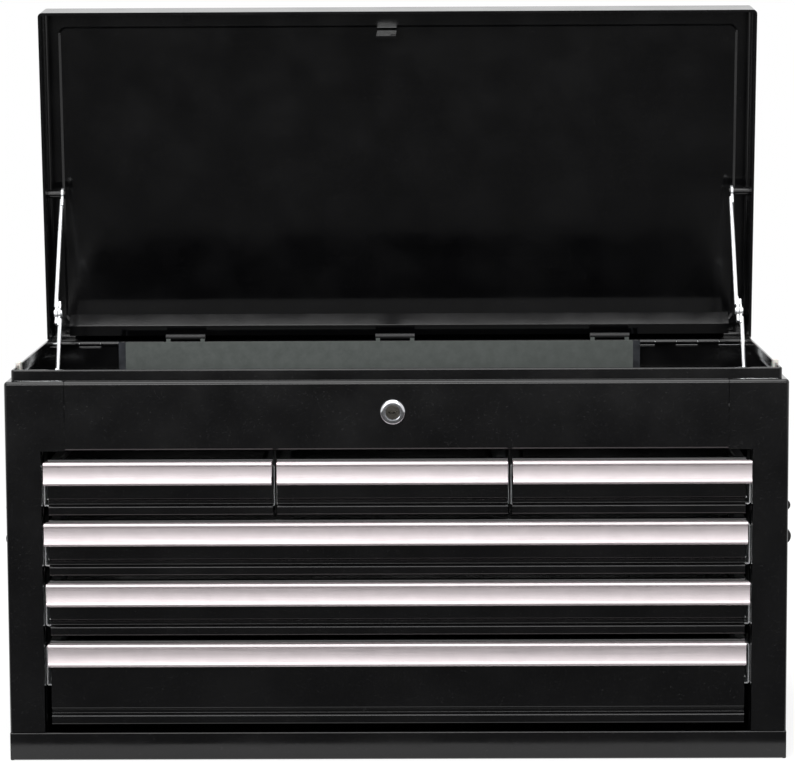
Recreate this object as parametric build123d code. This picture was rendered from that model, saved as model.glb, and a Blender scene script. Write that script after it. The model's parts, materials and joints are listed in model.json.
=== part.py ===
from build123d import *
import math
import os

# Machinist tool chest: a folded steel case with a till on top, three small drawers over three
# full-width ones, and a pan lid on a piano hinge that two folding stays hold open.
# Millimetres. +Z is up, the front faces -Y, and the origin is the centre of the flat underside.

# ---------------------------------------------------------------- overall sizes
WIDTH = 660.0
DEPTH = 314.0
LEDGE_Z = 324.5            # top of the case's outer walls, where the lid comes down
LID_DEPTH = 48.0           # outside depth of the lid pan
LID_OPEN = 84.0            # degrees from shut to the stop of the stays

# ---------------------------------------------------------------- sheet and bends
SHEET = 1.2
BEND = 1.6                 # inside radius of a bend
SEAM = 0.5                 # open seam between two sheets in one plane
SLIP = 0.3                 # gap beside a piece that is put in or slides
FLANGE = 12.0

# ---------------------------------------------------------------- case
STILE_WIDTH = 30.0
EAR_WIDTH = 50.5           # the stile widens to this beside the top rail
STILE_RETURN = 11.0
CASE_CORNER = 3.0          # upright corners
BASE_RAIL = 24.0
BASE_HEM = 10.0
BASE_FLANGE = 18.0
TOP_RAIL = 59.0
RIM_HEIGHT = 9.5
RIM_INSET = 5.5
RIM_HEM = 7.0
TILL_LIFT = 0.3            # till floor above the top rail's return
TILL_UPSTAND = 33.0
BUMPER_LENGTH = 12.0
BUMPER_HEIGHT = 8.0
BUMPER_ABOVE_RIM = 2.5
BUMPER_WALL = 1.1
BUMPER_FROM_FRONT = 40.0

# ---------------------------------------------------------------- drawers
SHALLOW_ROWS = 3
SHALLOW_HEIGHT = 47.1
ROW_GAP = 4.5
TOP_GAP = 7.9
BOTTOM_GAP = 6.9
SIDE_GAP = 6.0             # drawer face to stile
SMALL_DRAWERS = 3
FACE_GAP = 3.6             # between two small faces
GAP_SHIFT = (-4.0, -3.0)   # the two gaps' places, from an even spacing
DRAWER_SHEET = 0.9
DRAWER_BEND = 0.6
DRAWER_REAR_GAP = 32.5     # drawer's back to the case's back
FACE_BELOW = 14.5          # face's lower edge above the drawer's underside
GROOVE_DEPTH = 3.5
GROOVE_HEIGHT = 5.0
BEAD_SETBACK = 0.6
FRONT_RETURN = 8.0
SIDE_DROP = 8.0            # drawer's side below its front's top
TOP_HEM = 1.0              # front's top edge above the pull
TOP_HEM_DEPTH = 5.0

# ---------------------------------------------------------------- pulls
PULL_HEIGHT = 19.5
PULL_REACH = 15.0
PULL_OVERHANG = ((2.4, 3.8), (2.6, 0.7), (1.4, 2.8), (0.9, 0.0))  # past a row's left and right end
PULL_GAP = 4.5             # between two small pulls
PULL_WALL = 1.6
PULL_BEAD = 2.0            # radius
PULL_FLANGE = 14.0
PULL_FACE_SETBACK = 1.1    # flat of the pull behind its beads

# ---------------------------------------------------------------- ball slides
RAIL_LENGTH = 250.0
RAIL_SETBACK = 18.0
RAIL_DEPTH = 12.7          # whole slide, drawer's side to post
RAIL_SHEET = 1.2
RAIL_BEND = 0.6
OUTER_RAIL_HEIGHT = 35.0
OUTER_RAIL_REACH = 8.7
INNER_RAIL_HEIGHT = 24.0
INNER_RAIL_REACH = 9.5
RAIL_DROP = 24.0           # slide's centre below the drawer's top
DRAWER_TRAVEL = 180.0
CAGE_SHEET = 0.6
CAGE_REACH = 6.2
BALL_CLEARANCE = 0.2
BALL_HOLE_CLEARANCE = 0.15
BALLS_PER_RACE = 4
POST_WIDTH = 24.0
POST_FOOT = 9.0
POST_FROM_FRONT = 38.0
POST_FROM_RAIL_END = 23.5
DIVIDER_DEPTH = 255.0

# ---------------------------------------------------------------- piano hinge
KNUCKLE_R = 2.6
KNUCKLES = 32
KNUCKLE_GAP = 0.4
PIN_R = 1.25
PIN_FIT = 0.05
PIN_HEAD_R = 2.5
PIN_HEAD = 1.4
PIN_END_GAP = 1.3          # left wall to the pin's head
HINGE_END_GAP = 2.1        # rim to each end of the hinge
PIN_NOTCH = 4.5            # rims end this far in front of the hinge axis
LEAF_SHEET = 1.0
LEAF_HEIGHT = 20.0
LEAF_EDGE = 4.4            # leaf's edge from the hinge axis
HINGE_GAP = 1.4            # sheet's edge to the knuckles
HINGE_RISE = 1.1           # hinge axis above the ledge

# ---------------------------------------------------------------- lid
LID_GAP = 0.5              # shut lid above the ledge
LID_CORNER = 4.0
LID_HEM = 10.0
LID_REAR_NOTCH = 8.0
EMBOSS = 2.0               # raised panel in the lid's top
EMBOSS_SIDE = 12.0
EMBOSS_FRONT = 16.0
EMBOSS_REAR = 14.0
EMBOSS_CORNER = 9.0
CHANNEL_FROM_SIDE = 21.0
CHANNEL_FROM_HINGE = 16.5
CHANNEL_LEG = 9.5
CHANNEL_SLOPE = 5.5        # web's far edge farther from the hinge
CHANNEL_FLANGE = 5.0
CHANNEL_RISE = 2.0         # leg above the hinge axis, lid shut
CHANNEL_SLOT_WIDTH = 5.0
CHANNEL_SLOT_LENGTH = 20.0
CHANNEL_SLOT_FROM_END = 8.0

# ---------------------------------------------------------------- stays
STAY_LID_FORWARD = 140.0   # lid stud in front of the hinge axis, lid shut
STAY_LID_RISE = 14.0       # and above it
STAY_CASE_FORWARD = 99.7   # case stud in front of the hinge axis
STAY_CASE_DROP = 25.6      # and below it
STAY_LOWER = 70.0          # case stud to knuckle
STAY_FROM_WALL = 16.8      # wall's inside face to the plane between the links
STAY_LINK_GAP = 0.6
STAY_ROD_R = 1.8
STAY_ROD_END = 0.6         # rod's end clear of the eyes
STAY_EYE_R = 5.5
STAY_EYE_T = 2.0
STAY_PIN_R = 2.5
STAY_FIT = 0.05
STAY_HEAD_R = 4.2
STAY_HEAD = 1.3
STAY_SPACER_R = 3.8
STAY_KNUCKLE_R = 3.2
STAY_KNUCKLE_HEAD = 1.2

# ---------------------------------------------------------------- lock
LOCK_X = -3.0
LOCK_BELOW_LEDGE = 26.5
LOCK_BEZEL_R = 10.8
LOCK_BEZEL = 3.0
LOCK_BODY_R = 9.5
LOCK_BODY_LENGTH = 19.5
LOCK_HOLE_FIT = 0.1
LOCK_NUT_R = 13.0
LOCK_NUT = 3.8
LOCK_NUT_FIT = 0.05
PLUG_R = 6.0
PLUG_FIT = 0.05
PLUG_RECESS = 1.2
PLUG_TAIL_R = 4.0
KEYWAY_LENGTH = 7.0
KEYWAY_WIDTH = 1.8
KEYWAY_DEPTH = 12.0
CAM_GAP = 6.0              # housing's rear to the cam
CAM_T = 2.0
CAM_HUB_R = 6.0
CAM_REACH = 18.0
CAM_WIDTH = 7.0
CAM_TIP_R = 2.0
CAM_TIP_LENGTH = 5.0
STRIKER_X = -10.0
STRIKER_WIDTH = 18.0
STRIKER_T = 2.0
STRIKER_BEHIND_FRONT = 22.5
STRIKER_FOOT = 16.0
STRIKER_NOTCH_HEIGHT = 8.0
STRIKER_NOTCH_PAST = 3.0
STRIKER_TONGUE_BELOW = 18.5  # tongue's end below the ledge, lid shut

# ---------------------------------------------------------------- drawer lock
PLATE_LEFT = -255.5
PLATE_RIGHT = 218.7
PLATE_TOP = 328.0
PLATE_BOTTOM = 280.0
PLATE_BEHIND_TILL = 6.0
PLATE_T = 1.2
PLATE_TRAVEL = 10.0
TAB_X = (-199.5, -3.5, 197.0)
TAB_WIDTH = 36.0
TAB_LEG = 4.0              # each tab's roll stands on two legs
TAB_ROLL_R = 2.1
TAB_RISE = 4.6             # roll's centre above the plate's top
BAR_WIDTH = 6.5
BAR_DEPTH = 8.5
BAR_TO_HINGE = 0.6
BAR_BOTTOM = 46.0
TONGUE_WIDTH = 14.0
HOOK_ARM = 4.0
HOOK_TIP = 4.0
HOOK_ABOVE_LIP = 3.0
HOOK_DROP = 13.0
LUG_LENGTH = 12.0
LUG_LIP = 9.0
LUG_WIDTH = 12.0
LUG_BELOW_TOP = 30.0       # lug below the drawer's top
GUIDE_X = (-180.0, 160.0)
GUIDE_Z = 287.0
GUIDE_R = 2.5
GUIDE_FIT = 0.2
GUIDE_HEAD_R = 5.0
GUIDE_HEAD = 1.4
GUIDE_SPACER_R = 4.5

# ---------------------------------------------------------------- side handles
HANDLE_Z = 171.5           # grip's middle when it hangs
HANDLE_DROP = 30.0         # pivot to grip
GRIP_R = 7.5
GRIP_LENGTH = 88.0
GRIP_FROM_WALL = 2.0
BAIL_R = 2.8
BAIL_SPAN = 104.0
BAIL_FIT = 0.05
BAIL_END = 7.0
PLATE_EDGE = 14.0
HANDLE_PLATE_T = 1.6
HANDLE_PLATE_HEIGHT = 30.0
EAR_T = 3.0
EAR_R = 4.8
RIVET_R = 2.4
RIVET_HEAD = 1.3

# ---------------------------------------------------------------- places worked out from the sizes
X_OUT = WIDTH / 2
Y_FRONT = -DEPTH / 2
Y_BACK = DEPTH / 2
X_WALL = X_OUT - SHEET                 # side wall's inside face
Y_SKIN = Y_BACK - SHEET                # back panel's inside face
X_OPENING = X_OUT - STILE_WIDTH
Z_OPENING = LEDGE_Z - TOP_RAIL
RIM_TOP = LEDGE_Z + RIM_HEIGHT
RIM_FRONT_END = Y_FRONT + RIM_INSET + CASE_CORNER
AXIS_Y = Y_SKIN - KNUCKLE_R            # hinge axis
AXIS_Z = LEDGE_Z + HINGE_RISE
TILL_Z = Z_OPENING + SHEET + TILL_LIFT
TILL_REAR = AXIS_Y - KNUCKLE_R - BAR_TO_HINGE - BAR_DEPTH - PLATE_BEHIND_TILL
DRAWER_TOP = Z_OPENING - TOP_GAP
DRAWER_BACK = Y_BACK - DRAWER_REAR_GAP
X_FACES = X_OPENING - SIDE_GAP
RAIL_FRONT = Y_FRONT + RAIL_SETBACK
POST_REAR = RAIL_FRONT + RAIL_LENGTH - POST_FROM_RAIL_END
CAGE_LENGTH = RAIL_LENGTH - DRAWER_TRAVEL
LOCK_Z = LEDGE_Z - LOCK_BELOW_LEDGE
PLATE_Y = TILL_REAR + PLATE_BEHIND_TILL
HINGE_HALF = X_OUT - RIM_INSET - SHEET * 2 - HINGE_END_GAP
KNUCKLE_PITCH = 2 * HINGE_HALF / KNUCKLES
CHANNEL_HALF = X_OUT - CHANNEL_FROM_SIDE
STAY_X = X_WALL - STAY_FROM_WALL
HANDLE_PIVOT_Z = HANDLE_Z + HANDLE_DROP
HANDLE_X = X_OUT + GRIP_FROM_WALL + GRIP_R
BAR_X = (PLATE_LEFT - BAR_WIDTH / 2, PLATE_RIGHT + BAR_WIDTH / 2)
TONGUE_X = TAB_X[1]
LID_TOP = LEDGE_Z + LID_DEPTH


# ---------------------------------------------------------------- drawing helpers
def block(x0, x1, y0, y1, z0, z1):
    """Box between two corners."""
    return Pos((x0 + x1) / 2, (y0 + y1) / 2, (z0 + z1) / 2) * Box(x1 - x0, y1 - y0, z1 - z0)


def outline(points, rounded=()):
    """Flat face through the points; rounded lists (radius, [points])."""
    face = Face(Wire.make_polygon([Vector(u, v, 0) for u, v in points], close=True))
    for radius, corners in rounded:
        spots = [Vector(u, v, 0) for u, v in corners]
        found = [min(face.vertices(), key=lambda vertex: (Vector(vertex) - spot).length) for spot in spots]
        face = face.fillet_2d(radius, found)
    return face


def folded(points, sheet=SHEET, bend=BEND):
    """Outline of a folded sheet: points run along one side of it, and the sheet lies to their left."""
    inner = []
    tight = []
    wide = []
    last = len(points) - 1
    for index, point in enumerate(points):
        before = points[index - 1] if index > 0 else None
        after = points[index + 1] if index < last else None
        normals = []
        for start, end in ((before, point), (point, after)):
            if start is None or end is None:
                continue
            along = Vector(end[0] - start[0], end[1] - start[1], 0).normalized()
            normals.append(Vector(-along.Y, along.X, 0))
        if len(normals) == 1:
            shift = normals[0] * sheet
        else:
            shift = (normals[0] + normals[1]) * (sheet / (1 + normals[0].dot(normals[1])))
        moved = (point[0] + shift.X, point[1] + shift.Y)
        inner.append(moved)
        if len(normals) == 2:
            turns_left = normals[0].cross(normals[1]).Z > 0
            tight.append(moved if turns_left else point)
            wide.append(point if turns_left else moved)
    rounded = []
    if tight:
        rounded = [(bend, tight), (bend + sheet, wide)]
    return outline(list(points) + inner[::-1], rounded)


def along_x(face, x0, x1):
    """Solid of a face drawn in (y, z)."""
    placed = Plane((x0, 0, 0), x_dir=(0, 1, 0), z_dir=(1, 0, 0)) * face
    return Solid.extrude(placed, Vector(x1 - x0, 0, 0))


def along_y(face, y0, y1):
    """Solid of a face drawn in (x, z)."""
    placed = Plane((0, y0, 0), x_dir=(1, 0, 0), z_dir=(0, -1, 0)) * face
    return Solid.extrude(placed, Vector(0, y1 - y0, 0))


def along_z(face, z0, z1):
    """Solid of a face drawn in (x, y)."""
    return Solid.extrude(Pos(0, 0, z0) * face, Vector(0, 0, z1 - z0))


def round_bar(radius, start, end):
    """Cylinder from one point to another."""
    axis = Vector(*end) - Vector(*start)
    return Solid.make_cylinder(radius, axis.length, Plane(Vector(*start), z_dir=axis))


def rounded_block(x_half, y0, y1, z0, z1, corner, top=0.0):
    """Upright block with rounded corners and, if asked, a rounded top edge."""
    points = [(-x_half, y0), (x_half, y0), (x_half, y1), (-x_half, y1)]
    solid = along_z(outline(points, [(corner, points)]), z0, z1)
    if top > 0:
        highest = solid.faces().sort_by(Axis.Z)[-1]
        solid = solid.fillet(top, highest.edges())
    return solid


def mirrored(shape):
    """The same piece on the other side of the chest."""
    return shape.mirror(Plane.YZ)


def both_sides(shape):
    """Two separate solids, left and right."""
    return Compound(children=[Part(mirrored(shape).wrapped), Part(shape.wrapped)])


def group(solids):
    """Separate solids of one node."""
    return Compound(children=[Part(solid.wrapped) for solid in solids])


def opened(shape):
    """A lid piece drawn shut, turned to where the open lid stands."""
    return shape.rotate(Axis((0, AXIS_Y, AXIS_Z), (1, 0, 0)), -LID_OPEN)


# ---------------------------------------------------------------- case
def case_skin():
    """Walls, ledge and rim all round, as one thin skin; the side panels and top rail are cut from it."""
    walls = rounded_block(X_OUT, Y_FRONT, Y_BACK, 0, LEDGE_Z, CASE_CORNER, BEND + SHEET)
    inside = rounded_block(X_WALL, Y_FRONT + SHEET, Y_BACK + FLANGE, -1, LEDGE_Z - SHEET,
                           CASE_CORNER - SHEET, BEND)
    rim_out = X_OUT - RIM_INSET
    rim_front = Y_FRONT + RIM_INSET
    rim = rounded_block(rim_out, rim_front, Y_BACK, LEDGE_Z - SHEET, RIM_TOP, CASE_CORNER, SHEET * 0.9)
    through = rounded_block(rim_out - SHEET, rim_front + SHEET, Y_BACK + 1, LEDGE_Z - SHEET * 2,
                            RIM_TOP - RIM_HEM, CASE_CORNER - SHEET)
    hem = rounded_block(rim_out - SHEET * 2, rim_front + SHEET * 2, Y_BACK + 1, LEDGE_Z,
                        RIM_TOP + 1, CASE_CORNER / 3)
    return (walls + rim) - inside - through - hem


def side_panel(skin):
    """Right side: wall, rim, front stile with its ear and return, and the flange to the back."""
    far = WIDTH
    panel = skin & block(X_OPENING, far, -DEPTH, Y_SKIN, 0, RIM_TOP + 1)
    ear_edge = X_OUT - EAR_WIDTH + SEAM / 2
    ear = skin & block(ear_edge, X_OPENING + SEAM, -DEPTH, 0, Z_OPENING, LEDGE_Z)
    panel = panel + ear
    panel = panel - block(0, far, -DEPTH, RIM_FRONT_END + SEAM, LEDGE_Z, RIM_TOP + 1)
    panel = panel - block(0, far, -DEPTH, Y_FRONT + SHEET, -1, BASE_RAIL + SEAM)
    folded_return = block(X_OPENING, X_OPENING + SHEET, Y_FRONT, Y_FRONT + STILE_RETURN,
                          BASE_RAIL + SEAM, Z_OPENING - SEAM)
    panel = panel - block(X_OUT - RIM_INSET - SHEET * 3, X_WALL, AXIS_Y - PIN_NOTCH, Y_BACK,
                          AXIS_Z - PIN_HEAD_R - SLIP, RIM_TOP + 1)
    rear_flange = block(X_OUT - FLANGE - SHEET, X_WALL, Y_SKIN - SHEET, Y_SKIN,
                        BASE_FLANGE + FLANGE, AXIS_Z - LEAF_EDGE - LEAF_HEIGHT - SLIP)
    return panel + folded_return + rear_flange


def front_top_rail(skin):
    """Rail over the drawers, with the whole front of the rim, a return and the lock's hole."""
    half = X_OUT - EAR_WIDTH - SEAM / 2
    rail = skin & block(-half, half, -DEPTH, 0, Z_OPENING, RIM_TOP + 1)
    rail = rail + (skin & block(-X_OUT, X_OUT, -DEPTH, RIM_FRONT_END, LEDGE_Z + SLIP, RIM_TOP + 1))
    bent_under = folded([(Y_FRONT, Z_OPENING + FLANGE), (Y_FRONT, Z_OPENING),
                         (Y_FRONT + FLANGE, Z_OPENING)])
    corner = block(-half, half, Y_FRONT - 1, Y_FRONT + FLANGE, Z_OPENING - 1, Z_OPENING + FLANGE / 2)
    rail = (rail - corner) + along_x(bent_under, -half, half)
    hole = round_bar(LOCK_BODY_R + LOCK_HOLE_FIT, (LOCK_X, Y_FRONT - 1, LOCK_Z),
                     (LOCK_X, Y_FRONT + 2, LOCK_Z))
    return rail - hole


def back_panel():
    """Flat back up to the hinge."""
    top = AXIS_Z - KNUCKLE_R - KNUCKLE_GAP * 2
    face = [(-X_OUT, 0), (X_OUT, 0), (X_OUT, top), (-X_OUT, top)]
    return along_y(outline(face, [(CASE_CORNER, face[2:])]), Y_SKIN, Y_BACK)


def base_pan():
    """Bottom with a hemmed front rail and low flanges on the other sides."""
    shape = folded([(Y_FRONT, BASE_RAIL), (Y_FRONT, 0), (Y_SKIN, 0)])
    pan = along_x(shape, -X_OUT, X_OUT)
    hem_corners = [(Y_FRONT, BASE_RAIL), (Y_FRONT + SHEET * 2, BASE_RAIL)]
    hem = outline([(Y_FRONT, BASE_RAIL - BASE_HEM), (Y_FRONT + SHEET * 2, BASE_RAIL - BASE_HEM),
                   hem_corners[1], hem_corners[0]], [(SHEET * 0.9, hem_corners)])
    strip = block(-X_OUT, X_OUT, Y_FRONT - 1, Y_FRONT + SHEET, BASE_RAIL - SHEET, BASE_RAIL + 1)
    pan = (pan - strip) + along_x(hem, -X_OUT, X_OUT)
    for side in (-1, 1):
        x0, x1 = sorted((side * X_WALL, side * (X_OUT + 1)))
        pan = pan - block(x0, x1, Y_FRONT + SHEET, Y_BACK, -1, BASE_RAIL + 1)
        x0, x1 = sorted((side * X_WALL, side * (X_WALL - SHEET)))
        pan = pan + block(x0, x1, Y_FRONT + SHEET, Y_SKIN, 0, BASE_FLANGE)
        x0, x1 = sorted((side * X_WALL, side * (X_WALL - CASE_CORNER)))
        pan = pan - block(x0, x1, Y_FRONT + SHEET, Y_FRONT + CASE_CORNER, -1, BASE_RAIL + 1)
        pan = pan - block(x0, x1, Y_BACK - CASE_CORNER, Y_BACK, -1, BASE_RAIL + 1)
    rear = block(-X_OUT + FLANGE * 2, X_OUT - FLANGE * 2, Y_SKIN - SHEET, Y_SKIN, 0, BASE_FLANGE)
    return pan + rear


def till_floor():
    """Floor of the top compartment, turned up at the front, sides and rear."""
    front = Y_FRONT + SHEET
    shape = folded([(front, TILL_Z + FLANGE), (front, TILL_Z), (TILL_REAR, TILL_Z),
                    (TILL_REAR, TILL_Z + TILL_UPSTAND)])
    floor = along_x(shape, -X_WALL, X_WALL)
    for side in (-1, 1):
        x0, x1 = sorted((side * X_WALL, side * (X_WALL - SHEET)))
        floor = floor + block(x0, x1, front + BEND * 2, TILL_REAR - BEND * 2, TILL_Z, TILL_Z + FLANGE)
        x0, x1 = sorted((side * (X_WALL + 1), side * (X_WALL - CASE_CORNER)))
        floor = floor - block(x0, x1, Y_FRONT, front + CASE_CORNER, TILL_Z - 1, TILL_Z + FLANGE + 1)
    return floor


def divider(x):
    """Web between two small drawers, hung from the till floor."""
    bottom = DRAWER_TOP - SHALLOW_HEIGHT
    shape = folded([(x + SHEET / 2, bottom), (x + SHEET / 2, TILL_Z), (x - FLANGE, TILL_Z)])
    start = Y_FRONT + FLANGE + SLIP
    return along_y(shape, start, start + DIVIDER_DEPTH)


def slide_post(y):
    """Hat channel on the side wall that carries the slides level with the opening."""
    web = X_OPENING + RAIL_SHEET
    half = POST_WIDTH / 2
    shape = folded([(X_WALL, y - half - POST_FOOT), (X_WALL, y - half), (web, y - half),
                    (web, y + half), (X_WALL, y + half), (X_WALL, y + half + POST_FOOT)],
                   RAIL_SHEET, RAIL_BEND)
    return along_z(shape, BASE_FLANGE + SLIP, TILL_Z)


def rim_bumper():
    """Nylon clip over the rim near its front corner, which keeps the lid's walls off the paint."""
    rim = X_OUT - RIM_INSET
    y0 = Y_FRONT + BUMPER_FROM_FRONT
    top = RIM_TOP + BUMPER_ABOVE_RIM
    clip = block(rim - SHEET * 2 - SLIP - BUMPER_WALL, rim + BUMPER_WALL * 0.6, y0, y0 + BUMPER_LENGTH,
                 RIM_TOP - BUMPER_HEIGHT + 1, top)
    clip = clip.fillet(BUMPER_WALL * 0.5, clip.edges().filter_by(Axis.Y))
    slot = block(rim - SHEET * 2 - SLIP / 3, rim + SLIP / 3, y0 - 1, y0 + BUMPER_LENGTH + 1,
                 RIM_TOP - BUMPER_HEIGHT, RIM_TOP + SLIP / 3)
    return clip - slot


# ---------------------------------------------------------------- drawers
def drawer_layout():
    """Name, face left and right, body left and right, top and height of each drawer."""
    rows = []
    width = (2 * X_FACES - (SMALL_DRAWERS - 1) * FACE_GAP) / SMALL_DRAWERS
    outer = X_OPENING - RAIL_DEPTH
    names = ("small_drawer_left", "small_drawer_middle", "small_drawer_right")
    shifts = (0.0, *GAP_SHIFT, 0.0)
    for index, name in enumerate(names):
        even = -X_FACES + index * (width + FACE_GAP)
        left = even + shifts[index]
        right = even + width + shifts[index + 1]
        web = FACE_GAP / 2 - SHEET / 2 - RAIL_DEPTH
        body_left = -outer if index == 0 else left - web
        body_right = outer if index == SMALL_DRAWERS - 1 else right + web
        rows.append((name, left, right, body_left, body_right, DRAWER_TOP, SHALLOW_HEIGHT))
    for row, name in enumerate(("upper_drawer", "middle_drawer")):
        top = DRAWER_TOP - (row + 1) * (SHALLOW_HEIGHT + ROW_GAP)
        rows.append((name, -X_FACES, X_FACES, -outer, outer, top, SHALLOW_HEIGHT))
    top = DRAWER_TOP - SHALLOW_ROWS * (SHALLOW_HEIGHT + ROW_GAP)
    height = top - BASE_RAIL - BOTTOM_GAP
    rows.append(("deep_drawer", -X_FACES, X_FACES, -outer, outer, top, height))
    return rows


def lug_places(body_left, body_right):
    """Where a lock hook comes down behind a drawer with these sides."""
    return [x for x in (*BAR_X, TONGUE_X) if body_left + LUG_WIDTH < x < body_right - LUG_WIDTH]


def drawer_lugs(row):
    """Lug positions of one drawer: the middle tongue serves only the middle small drawer."""
    name, left, right, body_left, body_right, top, height = row
    places = lug_places(body_left, body_right)
    if name == "small_drawer_middle":
        return places
    return [x for x in places if x != TONGUE_X]


def drawer_box(row):
    """Folded tray: rolled front with a face, a groove and a lower bead, floor, sides, back and lugs."""
    name, left, right, body_left, body_right, top, height = row
    sheet = DRAWER_SHEET
    bottom = top - height
    face_bottom = bottom + FACE_BELOW
    groove = Y_FRONT + GROOVE_DEPTH
    bead = Y_FRONT + BEAD_SETBACK
    bead_top = face_bottom - GROOVE_HEIGHT
    front = folded([
        (Y_FRONT + TOP_HEM_DEPTH, top + TOP_HEM),
        (Y_FRONT, top + TOP_HEM),
        (Y_FRONT, face_bottom),
        (groove, face_bottom - GROOVE_DEPTH * 0.6),
        (groove, bead_top),
        (bead, bead_top - GROOVE_DEPTH * 0.5),
        (bead, bottom),
        (bead + FRONT_RETURN, bottom),
    ], sheet, DRAWER_BEND)
    tray = along_x(front, left, right)
    side_top = top - SIDE_DROP
    wrap = folded([(body_right, groove), (body_right, DRAWER_BACK), (body_left, DRAWER_BACK),
                   (body_left, groove)], sheet, BEND)
    tray = tray + along_z(wrap, bottom, side_top)
    for x in (body_left, body_right - sheet):
        tray = tray + block(x, x + sheet, Y_FRONT + sheet / 2, groove + sheet,
                            face_bottom + sheet, side_top)
    tray = tray + block(body_left + sheet / 2, body_right - sheet / 2, bead + FRONT_RETURN / 2,
                        DRAWER_BACK - sheet / 2, bottom, bottom + sheet)
    lug_z = top - LUG_BELOW_TOP
    for x in drawer_lugs(row):
        shape = folded([(DRAWER_BACK - sheet / 2, lug_z), (DRAWER_BACK + LUG_LENGTH, lug_z),
                        (DRAWER_BACK + LUG_LENGTH, lug_z + LUG_LIP)], SHEET, DRAWER_BEND)
        tray = tray + along_x(shape, x - LUG_WIDTH / 2, x + LUG_WIDTH / 2)
    return tray


def row_number(row):
    """Rows count from 0 at the top."""
    return round((DRAWER_TOP - row[5]) / (SHALLOW_HEIGHT + ROW_GAP))


def pull_ends(row):
    """Where a pull starts and stops: long over the row's outer ends, a gap between small ones."""
    name, left, right, body_left, body_right, top, height = row
    inner = (PULL_GAP - FACE_GAP) / 2
    past_left, past_right = PULL_OVERHANG[row_number(row)]
    start = left - past_left if left <= -X_FACES else left + inner
    stop = right + past_right if right >= X_FACES else right - inner
    return start, stop


def drawer_pull(row):
    """Aluminium section: a flange on the face, a web forward and a flat between two beads."""
    top = row[5]
    front = Y_FRONT - PULL_REACH
    bead_y = front + PULL_BEAD
    flat_y = front + PULL_FACE_SETBACK
    low = top - PULL_HEIGHT
    flange = outline([(Y_FRONT - PULL_WALL, top - PULL_FLANGE), (Y_FRONT, top - PULL_FLANGE),
                      (Y_FRONT, top), (Y_FRONT - PULL_WALL, top)])
    web = outline([(bead_y, top - PULL_WALL), (Y_FRONT, top - PULL_WALL), (Y_FRONT, top), (bead_y, top)])
    flat = outline([(flat_y, low + PULL_BEAD), (flat_y + PULL_WALL, low + PULL_BEAD),
                    (flat_y + PULL_WALL, top - PULL_BEAD), (flat_y, top - PULL_BEAD)])
    start, stop = pull_ends(row)
    solid = along_x(flange, start, stop) + along_x(web, start, stop) + along_x(flat, start, stop)
    for z in (top - PULL_BEAD, low + PULL_BEAD):
        solid = solid + round_bar(PULL_BEAD, (start, bead_y, z), (stop, bead_y, z))
    return solid


# ---------------------------------------------------------------- ball slides
def rail_places(row):
    """Each slide's inner face and which way it looks: +1 right, -1 left."""
    name, left, right, body_left, body_right, top, height = row
    return [(body_left, -1, top - RAIL_DROP), (body_right, 1, top - RAIL_DROP)]


def rail_section(points, x, way, z, sheet):
    """Folded rail outline drawn as (out from the drawer, up), set at one side of a drawer."""
    face = folded(points, sheet, RAIL_BEND)
    if way < 0:
        face = face.mirror(Plane.YZ)
    return Pos(x, z, 0) * face


def outer_rail(x, way, z):
    """C channel fixed to a post or divider."""
    low = RAIL_DEPTH - OUTER_RAIL_REACH
    half = OUTER_RAIL_HEIGHT / 2
    points = [(low, -half), (RAIL_DEPTH, -half), (RAIL_DEPTH, half), (low, half)]
    return along_y(rail_section(points, x, way, z, RAIL_SHEET), RAIL_FRONT, RAIL_FRONT + RAIL_LENGTH)


def inner_rail(x, way, z):
    """Narrower channel fixed to the drawer's side."""
    half = INNER_RAIL_HEIGHT / 2
    points = [(INNER_RAIL_REACH, half), (0, half), (0, -half), (INNER_RAIL_REACH, -half)]
    return along_y(rail_section(points, x, way, z, RAIL_SHEET), RAIL_FRONT, RAIL_FRONT + RAIL_LENGTH)


def ball_cage(x, way, z):
    """Strip that spaces the balls between the rails; it moves half as far as the drawer."""
    race = (OUTER_RAIL_HEIGHT / 2 - RAIL_SHEET + INNER_RAIL_HEIGHT / 2) / 2
    ball_r = (OUTER_RAIL_HEIGHT / 2 - RAIL_SHEET - INNER_RAIL_HEIGHT / 2) / 2 - BALL_CLEARANCE
    web = (INNER_RAIL_REACH + RAIL_DEPTH - RAIL_SHEET) / 2 + CAGE_SHEET / 2
    half = race + CAGE_SHEET / 2
    low = web - CAGE_REACH
    start = RAIL_FRONT + DRAWER_TRAVEL / 2
    points = [(low, -half), (web, -half), (web, half), (low, half)]
    cage = along_y(rail_section(points, x, way, z, CAGE_SHEET), start, start + CAGE_LENGTH)
    balls = []
    spacing = CAGE_LENGTH / BALLS_PER_RACE
    ball_x = x + way * (web - CAGE_REACH / 2 - CAGE_SHEET / 2)
    for index in range(BALLS_PER_RACE):
        y = start + spacing * (index + 0.5)
        holes_from = (ball_x, y, z - half - 1)
        holes_to = (ball_x, y, z + half + 1)
        cage = cage - round_bar(ball_r + BALL_HOLE_CLEARANCE, holes_from, holes_to)
        for up in (-1, 1):
            balls.append(Pos(ball_x, y, z + up * race) * Sphere(ball_r))
    return [cage] + balls


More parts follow.
